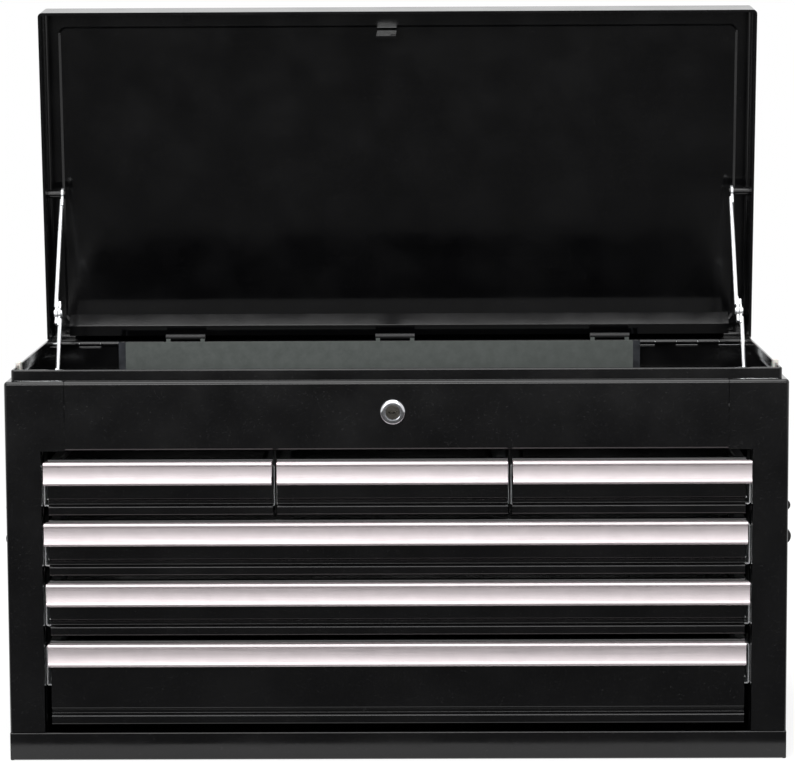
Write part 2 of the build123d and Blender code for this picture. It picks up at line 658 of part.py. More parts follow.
# ---------------------------------------------------------------- piano hinge
def hinge_leaf(lower):
    """One leaf with every second knuckle; the lower leaf is the case's, the upper one the lid's."""
    way = -1 if lower else 1
    plate_z = sorted((AXIS_Z + way * LEAF_EDGE, AXIS_Z + way * (LEAF_EDGE + LEAF_HEIGHT)))
    leaf = block(-HINGE_HALF, HINGE_HALF, Y_SKIN - LEAF_SHEET, Y_SKIN, *plate_z)
    bridge_z = sorted((AXIS_Z, AXIS_Z + way * LEAF_EDGE))
    pieces = []
    for index in range(0 if lower else 1, KNUCKLES, 2):
        x0 = -HINGE_HALF + index * KNUCKLE_PITCH + KNUCKLE_GAP / 2
        x1 = x0 + KNUCKLE_PITCH - KNUCKLE_GAP
        barrel = round_bar(KNUCKLE_R, (x0, AXIS_Y, AXIS_Z), (x1, AXIS_Y, AXIS_Z))
        bore = round_bar(PIN_R + PIN_FIT, (x0 - 1, AXIS_Y, AXIS_Z), (x1 + 1, AXIS_Y, AXIS_Z))
        bridge = block(x0, x1, Y_SKIN - LEAF_SHEET, Y_SKIN, *bridge_z)
        pieces.append((barrel + bridge) - bore)
    return leaf.fuse(*pieces)


def hinge_pin():
    """Long wire pin whose upset head stands out near the left wall."""
    left = PIN_END_GAP + PIN_HEAD - X_WALL
    pin = round_bar(PIN_R, (left - PIN_HEAD, AXIS_Y, AXIS_Z), (HINGE_HALF + 1, AXIS_Y, AXIS_Z))
    head = round_bar(PIN_HEAD_R, (left - PIN_HEAD, AXIS_Y, AXIS_Z), (left, AXIS_Y, AXIS_Z))
    head = head.fillet(PIN_HEAD * 0.4, head.edges().sort_by(Axis.X)[:1])
    return pin + head


# ---------------------------------------------------------------- lid, drawn shut
def raised_panel(inset, z0, rise):
    """Sloped panel in the lid's top, inset by a sheet for its hollow side."""
    x = X_OUT - EMBOSS_SIDE - inset
    y0 = Y_FRONT + EMBOSS_FRONT + inset
    y1 = Y_BACK - EMBOSS_REAR - inset
    points = [(-x, y0), (x, y0), (x, y1), (-x, y1)]
    face = Pos(0, 0, z0) * outline(points, [(EMBOSS_CORNER - inset, points)])
    return extrude(face, amount=rise, dir=(0, 0, 1), taper=45)


def lid_shell():
    """Pan with hemmed edges and a raised panel, notched behind so that it swings past the case."""
    border = LID_TOP - EMBOSS
    bottom = LEDGE_Z + LID_GAP
    pan = rounded_block(X_OUT, Y_FRONT, Y_BACK, bottom, border, LID_CORNER, LID_CORNER)
    pan = pan + raised_panel(0, border - SHEET / 2, EMBOSS + SHEET / 2)
    hollow = rounded_block(X_WALL, Y_FRONT + SHEET, Y_SKIN, bottom + LID_HEM, border - SHEET,
                           LID_CORNER - SHEET, LID_CORNER - SHEET)
    mouth = rounded_block(X_WALL - SHEET, Y_FRONT + SHEET * 2, Y_SKIN, bottom - 1, border - LID_HEM,
                          LID_CORNER / 2)
    shell = pan - hollow - mouth - raised_panel(SHEET * 0.6, border - SHEET * 1.5, EMBOSS + SHEET / 2)
    notch_top = AXIS_Z + KNUCKLE_R + HINGE_GAP
    return shell - block(-WIDTH, WIDTH, Y_BACK - LID_REAR_NOTCH, DEPTH, bottom - 1, notch_top)


def lid_rear_channel():
    """Stiffener along the lid's rear: a leg in the mouth, a sloping web and a flange on the panel."""
    near = AXIS_Y - CHANNEL_FROM_HINGE
    far = near - CHANNEL_SLOPE
    leg = AXIS_Z + CHANNEL_RISE
    panel = LID_TOP - SHEET
    shape = folded([(far + CHANNEL_FLANGE, panel), (far, panel), (near, leg), (near + CHANNEL_LEG, leg)])
    channel = along_x(shape, -CHANNEL_HALF, CHANNEL_HALF)
    middle = (leg + panel) / 2
    for side in (-1, 1):
        x = side * (CHANNEL_HALF - CHANNEL_SLOT_FROM_END)
        channel = channel - block(x - CHANNEL_SLOT_WIDTH / 2, x + CHANNEL_SLOT_WIDTH / 2,
                                  far - SHEET, near + SHEET * 2,
                                  middle - CHANNEL_SLOT_LENGTH / 2, middle + CHANNEL_SLOT_LENGTH / 2)
    return channel


def lid_striker():
    """Angle inside the lid's front whose notched tongue the lock's cam turns into."""
    y = Y_FRONT + STRIKER_BEHIND_FRONT
    panel = LID_TOP - EMBOSS - SHEET
    half = STRIKER_WIDTH / 2
    tip = LEDGE_Z - STRIKER_TONGUE_BELOW
    shape = folded([(y - STRIKER_FOOT, panel), (y, panel), (y, tip)][::-1], STRIKER_T, BEND)
    tongue = along_x(shape, STRIKER_X - half, STRIKER_X + half)
    notch_z = LOCK_Z + CAM_REACH - STRIKER_NOTCH_HEIGHT / 2 - CAM_TIP_R / 2
    notch = block(LOCK_X - STRIKER_NOTCH_PAST, STRIKER_X + half + 1, y - STRIKER_T * 3, y + STRIKER_T * 3,
                  notch_z, notch_z + STRIKER_NOTCH_HEIGHT)
    return tongue - notch


# ---------------------------------------------------------------- stays
def stay_points():
    """Lid stud, case stud and knuckle in (y, z) as they stand with the lid open."""
    angle = math.radians(LID_OPEN)
    forward = STAY_LID_FORWARD
    rise = STAY_LID_RISE
    lid = Vector(0, AXIS_Y - forward * math.cos(angle) + rise * math.sin(angle),
                 AXIS_Z + forward * math.sin(angle) + rise * math.cos(angle))
    case = Vector(0, AXIS_Y - STAY_CASE_FORWARD, AXIS_Z - STAY_CASE_DROP)
    knuckle = case + (lid - case).normalized() * STAY_LOWER
    return lid, case, knuckle


def stud(x_wall, x_eye, x_end, y, z):
    """Spacer on a wall, shoulder through a link's eye, and a head."""
    spacer = round_bar(STAY_SPACER_R, (x_wall, y, z), (x_eye + SLIP, y, z))
    shoulder = round_bar(STAY_PIN_R, (x_eye + 1, y, z), (x_end - SLIP, y, z))
    head = round_bar(STAY_HEAD_R, (x_end - SLIP, y, z), (x_end - SLIP - STAY_HEAD, y, z))
    return spacer + shoulder + head


def stay_link(start, end, x_near, x_far, knuckle_pin):
    """Rod between two flattened eyes; x_near is the eyes' wall side. The start eye is bored.

    The links fold past each other, so each lies wholly to its own side of STAY_X.
    """
    along = (end - start).normalized()
    link = None
    for spot in (start, end):
        eye = round_bar(STAY_EYE_R, (x_near, spot.Y, spot.Z), (x_far, spot.Y, spot.Z))
        link = eye if link is None else link + eye
    rod_x = STAY_X + math.copysign(STAY_LINK_GAP / 2 + STAY_ROD_R, x_near - STAY_X)
    rod_from = start + along * (STAY_EYE_R + STAY_ROD_END)
    rod_to = end - along * (STAY_EYE_R + STAY_ROD_END)
    link = link + round_bar(STAY_ROD_R, (rod_x, rod_from.Y, rod_from.Z), (rod_x, rod_to.Y, rod_to.Z))
    for spot, inward in ((start, along), (end, along * -1)):
        near = spot + inward * (STAY_EYE_R * 0.5)
        far = spot + inward * (STAY_EYE_R * 2.2)
        half = STAY_ROD_R * 1.25
        across = Vector(0, -along.Z, along.Y) * half
        corners = [near + across, far + across, far - across, near - across]
        neck = outline([(corner.Y, corner.Z) for corner in corners])
        link = link + along_x(neck, min(x_near, x_far), max(x_near, x_far))
    bore = round_bar(STAY_PIN_R + STAY_FIT, (x_near + 9, start.Y, start.Z), (x_far - 9, start.Y, start.Z))
    link = link - bore
    return link + knuckle_pin


def upper_link():
    """Right upper link: hangs from the lid stud, in the inner plane."""
    lid, case, knuckle = stay_points()
    near = STAY_X - STAY_LINK_GAP / 2
    far = near - STAY_EYE_T
    rivet = round_bar(STAY_KNUCKLE_R, (far, knuckle.Y, knuckle.Z),
                      (far - STAY_KNUCKLE_HEAD, knuckle.Y, knuckle.Z))
    rivet = rivet.fillet(STAY_KNUCKLE_HEAD * 0.6, rivet.edges().sort_by(Axis.X)[:1])
    return stay_link(lid, knuckle, near, far, rivet)


def lower_link():
    """Right lower link: turns on the case stud, in the outer plane."""
    lid, case, knuckle = stay_points()
    far = STAY_X + STAY_LINK_GAP / 2
    near = far + STAY_EYE_T
    rivet = round_bar(STAY_KNUCKLE_R, (near, knuckle.Y, knuckle.Z),
                      (near + STAY_KNUCKLE_HEAD, knuckle.Y, knuckle.Z))
    rivet = rivet.fillet(STAY_KNUCKLE_HEAD * 0.6, rivet.edges().sort_by(Axis.X)[-1:])
    return stay_link(case, knuckle, near, far, rivet)


def moved_left(link):
    """The left stay has the same links as the right one, not mirrored ones."""
    return Pos(-2 * STAY_X, 0, 0) * link


def stay_stud(spot, inner_eye):
    """Stud on the right wall for an eye on the inner or outer side of the links' plane."""
    gap = STAY_LINK_GAP / 2
    if inner_eye:
        return stud(X_WALL, STAY_X - gap, STAY_X - gap - STAY_EYE_T, spot.Y, spot.Z)
    return stud(X_WALL, STAY_X + gap + STAY_EYE_T, STAY_X + gap, spot.Y, spot.Z)


def lid_stay_studs():
    """Studs on the open lid's walls; the upper links lie to the left of the lower ones."""
    lid, case, knuckle = stay_points()
    return group([stay_stud(lid, True), mirrored(stay_stud(lid, False))])


def case_stay_studs():
    """Studs on the case's walls; the lower links lie to the right of the upper ones."""
    lid, case, knuckle = stay_points()
    return group([stay_stud(case, False), mirrored(stay_stud(case, True))])


# ---------------------------------------------------------------- lock
def lock_housing():
    """Tube through the top rail behind a round bezel."""
    front = Y_FRONT - LOCK_BEZEL
    bezel = round_bar(LOCK_BEZEL_R, (LOCK_X, Y_FRONT, LOCK_Z), (LOCK_X, front, LOCK_Z))
    bezel = bezel.fillet(LOCK_BEZEL * 0.45, bezel.edges().sort_by(Axis.Y)[:1])
    tube = round_bar(LOCK_BODY_R, (LOCK_X, front + 1, LOCK_Z), (LOCK_X, Y_FRONT + LOCK_BODY_LENGTH, LOCK_Z))
    bore = round_bar(PLUG_R + PLUG_FIT, (LOCK_X, front - 1, LOCK_Z), (LOCK_X, DEPTH, LOCK_Z))
    return (bezel + tube) - bore


def lock_nut():
    """Hexagon nut that draws the bezel against the rail."""
    start = Y_FRONT + SHEET
    angles = [math.radians(60 * k) for k in range(6)]
    corners = [(LOCK_X + LOCK_NUT_R * math.cos(a), LOCK_Z + LOCK_NUT_R * math.sin(a)) for a in angles]
    nut = along_y(outline(corners), start, start + LOCK_NUT)
    bore_r = LOCK_BODY_R + LOCK_NUT_FIT
    return nut - round_bar(bore_r, (LOCK_X, start - 1, LOCK_Z), (LOCK_X, start + LOCK_NUT + 1, LOCK_Z))


def lock_plug():
    """Turning core with a keyway and a thinner tail that carries the cam."""
    front = Y_FRONT - LOCK_BEZEL + PLUG_RECESS
    rear = Y_FRONT + LOCK_BODY_LENGTH
    plug = round_bar(PLUG_R, (LOCK_X, front, LOCK_Z), (LOCK_X, rear, LOCK_Z))
    tail_end = rear + CAM_GAP + CAM_T
    plug = plug + round_bar(PLUG_TAIL_R, (LOCK_X, rear - 1, LOCK_Z), (LOCK_X, tail_end, LOCK_Z))
    keyway = block(LOCK_X - KEYWAY_LENGTH / 2, LOCK_X + KEYWAY_LENGTH / 2, front - 1, front + KEYWAY_DEPTH,
                   LOCK_Z - KEYWAY_WIDTH / 2, LOCK_Z + KEYWAY_WIDTH / 2)
    return plug - keyway


def lock_cam():
    """Arm behind the plug with a bent tip, lying unlocked to the right."""
    start = Y_FRONT + LOCK_BODY_LENGTH + CAM_GAP
    stop = start + CAM_T
    hub = round_bar(CAM_HUB_R, (LOCK_X, start, LOCK_Z), (LOCK_X, stop, LOCK_Z))
    half = CAM_WIDTH / 2
    arm = block(LOCK_X, LOCK_X + CAM_REACH, start, stop, LOCK_Z - half, LOCK_Z + half)
    end = round_bar(half, (LOCK_X + CAM_REACH, start, LOCK_Z), (LOCK_X + CAM_REACH, stop, LOCK_Z))
    tip = round_bar(CAM_TIP_R, (LOCK_X + CAM_REACH, stop, LOCK_Z),
                    (LOCK_X + CAM_REACH, start - CAM_TIP_LENGTH, LOCK_Z))
    bore = round_bar(PLUG_TAIL_R, (LOCK_X, start - 1, LOCK_Z), (LOCK_X, stop + 1, LOCK_Z))
    return (hub + arm + end + tip) - bore


# ---------------------------------------------------------------- drawer lock
def lock_plate():
    """Lift plate behind the till with three rolled tabs, guide slots and a tongue and hook."""
    y0 = PLATE_Y
    y1 = PLATE_Y + PLATE_T
    plate = block(PLATE_LEFT, PLATE_RIGHT, y0, y1, PLATE_BOTTOM, PLATE_TOP)
    for x in TAB_X:
        roll_z = PLATE_TOP + TAB_RISE
        roll_y = y1 + TAB_ROLL_R
        half = TAB_WIDTH / 2
        plate = plate + round_bar(TAB_ROLL_R, (x - half, roll_y, roll_z), (x + half, roll_y, roll_z))
        for leg in (x - half, x + half - TAB_LEG):
            plate = plate + block(leg, leg + TAB_LEG, y1, y1 + PLATE_T, PLATE_TOP - FLANGE, roll_z)
    half = TONGUE_WIDTH / 2
    tongue_bottom = DRAWER_TOP - LUG_BELOW_TOP + LUG_LIP + HOOK_ABOVE_LIP + HOOK_DROP - HOOK_ARM
    plate = plate + block(TONGUE_X - half, TONGUE_X + half, y0, y1, tongue_bottom, PLATE_BOTTOM)
    plate = plate + hook(TONGUE_X, DRAWER_TOP, y0 + PLATE_T / 2)
    for x in GUIDE_X:
        r = GUIDE_R + GUIDE_FIT
        slot = block(x - r, x + r, y0 - 1, y1 + 1, GUIDE_Z, GUIDE_Z + PLATE_TRAVEL)
        for z in (GUIDE_Z, GUIDE_Z + PLATE_TRAVEL):
            slot = slot + round_bar(r, (x, y0 - 1, z), (x, y1 + 1, z))
        plate = plate - slot
    return plate


def hook(x, drawer_top, y_root):
    """Arm and hanging tip in front of a drawer's lug, clear of it while the plate is up."""
    lip_top = drawer_top - LUG_BELOW_TOP + LUG_LIP
    tip_bottom = lip_top + HOOK_ABOVE_LIP
    tip_y = DRAWER_BACK + LUG_LENGTH - SHEET - HOOK_TIP - SLIP * 4
    half = BAR_WIDTH / 2
    arm_top = tip_bottom + HOOK_DROP
    arm = block(x - half, x + half, tip_y, y_root, arm_top - HOOK_ARM, arm_top)
    tip = block(x - half, x + half, tip_y, tip_y + HOOK_TIP, tip_bottom, arm_top)
    return arm + tip


def lock_bar(x):
    """Upright channel beside the plate with a hook for each drawer it passes."""
    half = BAR_WIDTH / 2
    y0 = PLATE_Y
    bar = block(x - half, x + half, y0, y0 + BAR_DEPTH, BAR_BOTTOM, PLATE_TOP)
    bar = bar - block(x - half + SHEET, x + half - SHEET, y0 + SHEET, y0 + BAR_DEPTH + 1,
                      BAR_BOTTOM - 1, PLATE_TOP + 1)
    for row in drawer_layout():
        if x in drawer_lugs(row):
            bar = bar + hook(x, row[5], y0 + SHEET / 2)
    return bar


def plate_guide(x):
    """Shouldered stud on the back panel that the plate slides on."""
    spacer = round_bar(GUIDE_SPACER_R, (x, Y_SKIN, GUIDE_Z), (x, PLATE_Y + PLATE_T + SLIP, GUIDE_Z))
    shoulder = round_bar(GUIDE_R, (x, Y_SKIN - 1, GUIDE_Z), (x, PLATE_Y - SLIP, GUIDE_Z))
    head = round_bar(GUIDE_HEAD_R, (x, PLATE_Y - SLIP, GUIDE_Z), (x, PLATE_Y - SLIP - GUIDE_HEAD, GUIDE_Z))
    return spacer + shoulder + head


# ---------------------------------------------------------------- side handles
def handle_plate():
    """Right plate with two ears that the bail turns in."""
    half = BAIL_SPAN / 2 + PLATE_EDGE
    low = HANDLE_PIVOT_Z - HANDLE_PLATE_HEIGHT / 2
    high = low + HANDLE_PLATE_HEIGHT
    corners = [(-half, low), (half, low), (half, high), (-half, high)]
    plate = along_x(outline(corners, [(EAR_R, corners)]), X_OUT, X_OUT + HANDLE_PLATE_T)
    for side in (-1, 1):
        y0 = side * (BAIL_SPAN / 2 - BAIL_END / 2) - EAR_T / 2
        eye = round_bar(EAR_R, (HANDLE_X, y0, HANDLE_PIVOT_Z), (HANDLE_X, y0 + EAR_T, HANDLE_PIVOT_Z))
        foot = block(X_OUT + HANDLE_PLATE_T / 2, HANDLE_X, y0, y0 + EAR_T,
                     HANDLE_PIVOT_Z - EAR_R, HANDLE_PIVOT_Z + EAR_R)
        bore = round_bar(BAIL_R + BAIL_FIT, (HANDLE_X, y0 - 1, HANDLE_PIVOT_Z),
                         (HANDLE_X, y0 + EAR_T + 1, HANDLE_PIVOT_Z))
        plate = (plate + eye + foot) - bore
    return plate


def handle_bail():
    """Right bail: a bent rod whose ends turn inwards through the ears."""
    inner = BAIL_SPAN / 2 - BAIL_END
    arm_y = inner - BAIL_R - SLIP
    low = HANDLE_Z
    rod = round_bar(BAIL_R, (HANDLE_X, -arm_y, low), (HANDLE_X, arm_y, low))
    for side in (-1, 1):
        y = side * arm_y
        rod = rod + round_bar(BAIL_R, (HANDLE_X, y, low), (HANDLE_X, y, HANDLE_PIVOT_Z))
        rod = rod + round_bar(BAIL_R, (HANDLE_X, y, HANDLE_PIVOT_Z),
                              (HANDLE_X, side * BAIL_SPAN / 2, HANDLE_PIVOT_Z))
        rod = rod + Pos(HANDLE_X, y, low) * Sphere(BAIL_R)
        rod = rod + Pos(HANDLE_X, y, HANDLE_PIVOT_Z) * Sphere(BAIL_R)
    return rod


def handle_grip():
    """Right vinyl grip around the bail's middle."""
    half = GRIP_LENGTH / 2 - BAIL_R * 2 - SLIP * 4
    grip = round_bar(GRIP_R, (HANDLE_X, -half, HANDLE_Z), (HANDLE_X, half, HANDLE_Z))
    grip = grip.fillet(GRIP_R * 0.3, grip.edges().filter_by(GeomType.CIRCLE))
    return grip - round_bar(BAIL_R, (HANDLE_X, -half - 1, HANDLE_Z), (HANDLE_X, half + 1, HANDLE_Z))


def handle_rivets():
    """Domed rivets at the right plate's corners, through the wall."""
    rivets = []
    for y in (-BAIL_SPAN / 2 - PLATE_EDGE / 2, BAIL_SPAN / 2 + PLATE_EDGE / 2):
        for z in (HANDLE_PIVOT_Z - HANDLE_PLATE_HEIGHT / 4, HANDLE_PIVOT_Z + HANDLE_PLATE_HEIGHT / 4):
            outer = X_OUT + HANDLE_PLATE_T
            head = round_bar(RIVET_R, (outer, y, z), (outer + RIVET_HEAD, y, z))
            head = head.fillet(RIVET_HEAD * 0.7, head.edges().sort_by(Axis.X)[-1:])
            rivets.append(head)
    return rivets


# ---------------------------------------------------------------- the whole chest
def whole_chest():
    """Every piece by name."""
    skin = case_skin()
    right = side_panel(skin)
    rows = drawer_layout()
    webs = [row[2] + FACE_GAP / 2 for row in rows[:SMALL_DRAWERS - 1]]
    pieces = {
        "side_panel_right": right,
        "side_panel_left": mirrored(right),
        "front_top_rail": front_top_rail(skin),
        "back_panel": back_panel(),
        "base_pan": base_pan(),
        "till_floor": till_floor(),
        "drawer_dividers": group([divider(x) for x in webs]),
        "slide_posts": group([post for y in (Y_FRONT + POST_FROM_FRONT, POST_REAR)
                              for post in (slide_post(y), mirrored(slide_post(y)))]),
        "rim_bumpers": both_sides(rim_bumper()),
        "hinge_case_leaf": hinge_leaf(True),
        "hinge_pin": hinge_pin(),
        "hinge_lid_leaf": opened(hinge_leaf(False)),
        "lid_shell": opened(lid_shell()),
        "lid_rear_channel": opened(lid_rear_channel()),
        "lid_striker": opened(lid_striker()),
        "lid_stay_studs": lid_stay_studs(),
        "case_stay_studs": case_stay_studs(),
        "stay_upper_right": upper_link(),
        "stay_upper_left": moved_left(upper_link()),
        "stay_lower_right": lower_link(),
        "stay_lower_left": moved_left(lower_link()),
        "lock_housing": lock_housing(),
        "lock_nut": lock_nut(),
        "lock_plug": lock_plug(),
        "lock_cam": lock_cam(),
        "drawer_lock_plate": lock_plate(),
        "drawer_lock_bars": group([lock_bar(x) for x in BAR_X]),
        "lock_plate_guides": group([plate_guide(x) for x in GUIDE_X]),
        "handle_plate_right": handle_plate(),
        "handle_plate_left": mirrored(handle_plate()),
        "handle_bail_right": handle_bail(),
        "handle_bail_left": mirrored(handle_bail()),
        "handle_grip_right": handle_grip(),
        "handle_grip_left": mirrored(handle_grip()),
        "handle_rivets": group([rivet for shape in handle_rivets() for rivet in (shape, mirrored(shape))]),
        "slide_outer_rails": group([outer_rail(*place) for row in rows for place in rail_places(row)]),
    }
    for row in rows:
        name = row[0]
        pieces[name + "_box"] = drawer_box(row)
        pieces[name + "_pull"] = drawer_pull(row)
        pieces[name + "_rails"] = group([inner_rail(*place) for place in rail_places(row)])
        cages = [solid for place in rail_places(row) for solid in ball_cage(*place)]
        pieces[name + "_cages"] = group(cages)
    return pieces


os.makedirs("parts", exist_ok=True)
for node, shape in whole_chest().items():
    export_step(shape, os.path.join("parts", node + ".step"))
print("pieces", len(os.listdir("parts")))
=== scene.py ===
# %% [markdown]
# # A machinist tool chest, made to look like the real one
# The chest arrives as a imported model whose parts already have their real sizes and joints. This
# file gives each of them its finish, remodels the pieces whose soft edges and bends the plain
# model leaves out, and sets up a small photo studio. Everything is in metres, +Z is up and the
# drawers open towards -Y.

import json
import math

import bpy
from mathutils import Matrix, Vector


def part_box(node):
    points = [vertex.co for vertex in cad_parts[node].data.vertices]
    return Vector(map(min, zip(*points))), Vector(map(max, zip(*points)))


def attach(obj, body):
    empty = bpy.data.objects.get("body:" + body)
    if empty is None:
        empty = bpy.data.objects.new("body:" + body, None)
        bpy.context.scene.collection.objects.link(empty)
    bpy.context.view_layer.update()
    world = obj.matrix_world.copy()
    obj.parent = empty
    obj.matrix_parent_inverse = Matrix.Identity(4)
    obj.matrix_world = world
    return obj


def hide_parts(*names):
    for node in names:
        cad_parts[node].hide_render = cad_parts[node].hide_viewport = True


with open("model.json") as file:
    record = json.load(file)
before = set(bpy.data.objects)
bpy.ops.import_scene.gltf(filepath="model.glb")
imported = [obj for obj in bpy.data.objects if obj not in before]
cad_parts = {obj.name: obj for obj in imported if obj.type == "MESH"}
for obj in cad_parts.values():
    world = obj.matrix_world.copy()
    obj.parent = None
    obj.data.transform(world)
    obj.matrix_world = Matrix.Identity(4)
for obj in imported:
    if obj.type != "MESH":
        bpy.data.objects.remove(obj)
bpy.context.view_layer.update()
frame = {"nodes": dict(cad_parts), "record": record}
nodes = frame["nodes"]

MM = 0.001

# %% [markdown]
# ## The camera
# The photograph was taken a little above the middle of the open chest with a long lens, so
# upright edges stay nearly parallel. The place and the angles below come from fitting a pinhole
# camera to the chest's corners. The picture is 795 pixels wide, so a focal length in pixels
# turns into a lens for a 36 mm sensor.

# %% Camera
PHOTO_WIDTH = 795
FOCAL_PIXELS = 3119
SENSOR = 36.0
CAMERA_PLACE = Vector((0.0234, -2.7588, 0.6166))
YAW = math.radians(0.49)
PITCH = math.radians(6.43)
ROLL = math.radians(-0.27)

camera_data = bpy.data.cameras.new("camera")
camera_data.sensor_width = SENSOR
camera_data.lens = FOCAL_PIXELS * SENSOR / PHOTO_WIDTH
camera = bpy.data.objects.new("camera", camera_data)
bpy.context.scene.collection.objects.link(camera)
turn = (Matrix.Rotation(YAW, 4, "Z") @ Matrix.Rotation(math.pi / 2 - PITCH, 4, "X")
        @ Matrix.Rotation(ROLL, 4, "Z"))
camera.matrix_world = Matrix.Translation(CAMERA_PLACE) @ turn
bpy.context.scene.camera = camera
print("lens", round(camera_data.lens, 2), "mm")

# %% [markdown]
# ## Colours and shader nodes
# Colours are written as the sRGB hex values that an eye dropper gives. Shaders want linear
# light, so one function turns them. A second one adds a node, sets it up and wires it, which
# keeps each recipe short.

# %% Small helpers for materials
def linear(hex_code):
    """sRGB hex such as "c8c0bb" as linear RGBA."""
    channels = [int(hex_code[k:k + 2], 16) / 255 for k in (0, 2, 4)]
    bent = [c / 12.92 if c <= 0.04045 else ((c + 0.055) / 1.055) ** 2.4 for c in channels]
    return (*bent, 1.0)


def add(tree, kind, sockets=None, **settings):
    """A new node. sockets maps an input to a value or to another node's output."""
    node = tree.nodes.new(kind)
    for name, value in settings.items():
        setattr(node, name, value)
    for name, value in (sockets or {}).items():
        if isinstance(value, bpy.types.NodeSocket):
            tree.links.new(value, node.inputs[name])
        else:
            node.inputs[name].default_value = value
    return node


def blank(name):
    """An empty material with its tree."""
    material = bpy.data.materials.new(name)
    material.use_nodes = True
    material.node_tree.nodes.clear()
    return material, material.node_tree


# A colour mix keeps its factor by name, but its two colours and its result by number.
FIRST, SECOND, MIXED = 6, 7, 2


def blend_colours(tree, factor, first, second, low=0.35, high=0.65):
    """Two colours mixed where a noise runs from low to high."""
    step = add(tree, "ShaderNodeMapRange", {"Value": factor, "From Min": low, "From Max": high})
    mix = add(tree, "ShaderNodeMix", data_type="RGBA")
    tree.links.new(step.outputs["Result"], mix.inputs["Factor"])
    mix.inputs[FIRST].default_value = linear(first)
    mix.inputs[SECOND].default_value = linear(second)
    return mix.outputs[MIXED]


# %% [markdown]
# ## Baked black enamel
# The sheet steel is sprayed and baked: a smooth black film a few hundredths of a millimetre
# thick. What the eye gets is not the black but how the film lies: a fine orange peel, long
# gentle waves where the sheet was rolled and folded, and a thin haze of dust and handling that
# greys some areas. The film is glossy without being a mirror, so its roughness is low and moves
# a little with the haze, and its specular level is just under the usual one.

# %% Enamel
ORANGE_PEEL = 2.4 * MM        # real peel is nearer 1 mm, drawn coarser so that it shows
PEEL_DEPTH = 0.06 * MM
SHEET_WAVE = 85 * MM
WAVE_DEPTH = 0.8 * MM
HAZE_PATCH = 45 * MM
DUST_SPECK = 0.9 * MM
DUST_COLOUR = "3a3a3a"
DUST_FROM, DUST_FULL = 0.66, 0.80       # only the highest peaks of the noise are specks


def make_enamel(name, dark, hazy, roughness, shine):
    """Black paint with peel, waves, haze and specks."""
    material, tree = blank(name)
    place = add(tree, "ShaderNodeTexCoord").outputs["Object"]
    peel = add(tree, "ShaderNodeTexNoise",
               {"Vector": place, "Scale": 1 / ORANGE_PEEL, "Detail": 2.0})
    waves = add(tree, "ShaderNodeTexNoise",
                {"Vector": place, "Scale": 1 / SHEET_WAVE, "Detail": 1.0})
    haze = add(tree, "ShaderNodeTexNoise",
               {"Vector": place, "Scale": 1 / HAZE_PATCH, "Detail": 6.0})
    dust = add(tree, "ShaderNodeTexNoise",
               {"Vector": place, "Scale": 1 / DUST_SPECK, "Detail": 2.0})
    specks = add(tree, "ShaderNodeMapRange",
                 {"Value": dust.outputs["Fac"], "From Min": DUST_FROM, "From Max": DUST_FULL})
    film = blend_colours(tree, haze.outputs["Fac"], dark, hazy)
    colour = add(tree, "ShaderNodeMix", data_type="RGBA")
    tree.links.new(specks.outputs["Result"], colour.inputs["Factor"])
    tree.links.new(film, colour.inputs[FIRST])
    colour.inputs[SECOND].default_value = linear(DUST_COLOUR)
    rough = add(tree, "ShaderNodeMapRange",
                {"Value": haze.outputs["Fac"], "From Min": 0.3, "From Max": 0.7,
                 "To Min": roughness - 0.03, "To Max": roughness + 0.04})
    soft = add(tree, "ShaderNodeBump",
               {"Height": waves.outputs["Fac"], "Strength": 0.5, "Distance": WAVE_DEPTH})
    fine = add(tree, "ShaderNodeBump",
               {"Height": peel.outputs["Fac"], "Normal": soft.outputs["Normal"],
                "Strength": 0.15, "Distance": PEEL_DEPTH})
    paint = add(tree, "ShaderNodeBsdfPrincipled",
                {"Base Color": colour.outputs[MIXED], "Roughness": rough.outputs["Result"],
                 "Normal": fine.outputs["Normal"], "Specular IOR Level": shine})
    add(tree, "ShaderNodeOutputMaterial", {"Surface": paint.outputs["BSDF"]})
    return material


# %% [markdown]
# ## Metals
# Several bare metals show. The pulls are extruded and clear anodised: a flat satin with faint
# lines along the section, because the die draws them. The stays and slides are bright zinc, the
# lock plate is galvanised sheet with its cloudy spangle, and the lock's bezel is chrome over a
# worn nickel plug. One recipe serves them all: a stretched noise gives the drawing lines, which
# move the roughness as a real surface does, and a cloudy noise gives the patches of tint.

# %% Metal recipe
def make_metal(name, colour, cloudy, roughness, line=(1, 1, 1), line_size=1.0 * MM,
               cloud_size=12 * MM, depth=0.01 * MM):
    """Bare metal. line squeezes the noise along one axis, which draws it out into lines."""
    material, tree = blank(name)
    place = add(tree, "ShaderNodeTexCoord").outputs["Object"]
    mapping = add(tree, "ShaderNodeMapping", {"Vector": place, "Scale": line})
    lines = add(tree, "ShaderNodeTexNoise",
                {"Vector": mapping.outputs["Vector"], "Scale": 1 / line_size, "Detail": 3.0})
    clouds = add(tree, "ShaderNodeTexNoise",
                 {"Vector": place, "Scale": 1 / cloud_size, "Detail": 5.0})
    tint = blend_colours(tree, clouds.outputs["Fac"], colour, cloudy)
    rough = add(tree, "ShaderNodeMapRange",
                {"Value": lines.outputs["Fac"], "From Min": 0.3, "From Max": 0.7,
                 "To Min": roughness - 0.06, "To Max": roughness + 0.06})
    bump = add(tree, "ShaderNodeBump",
               {"Height": lines.outputs["Fac"], "Strength": 0.35, "Distance": depth})
    metal = add(tree, "ShaderNodeBsdfPrincipled",
                {"Base Color": tint, "Metallic": 1.0, "Roughness": rough.outputs["Result"],
                 "Normal": bump.outputs["Normal"]})
    add(tree, "ShaderNodeOutputMaterial", {"Surface": metal.outputs["BSDF"]})
    return material


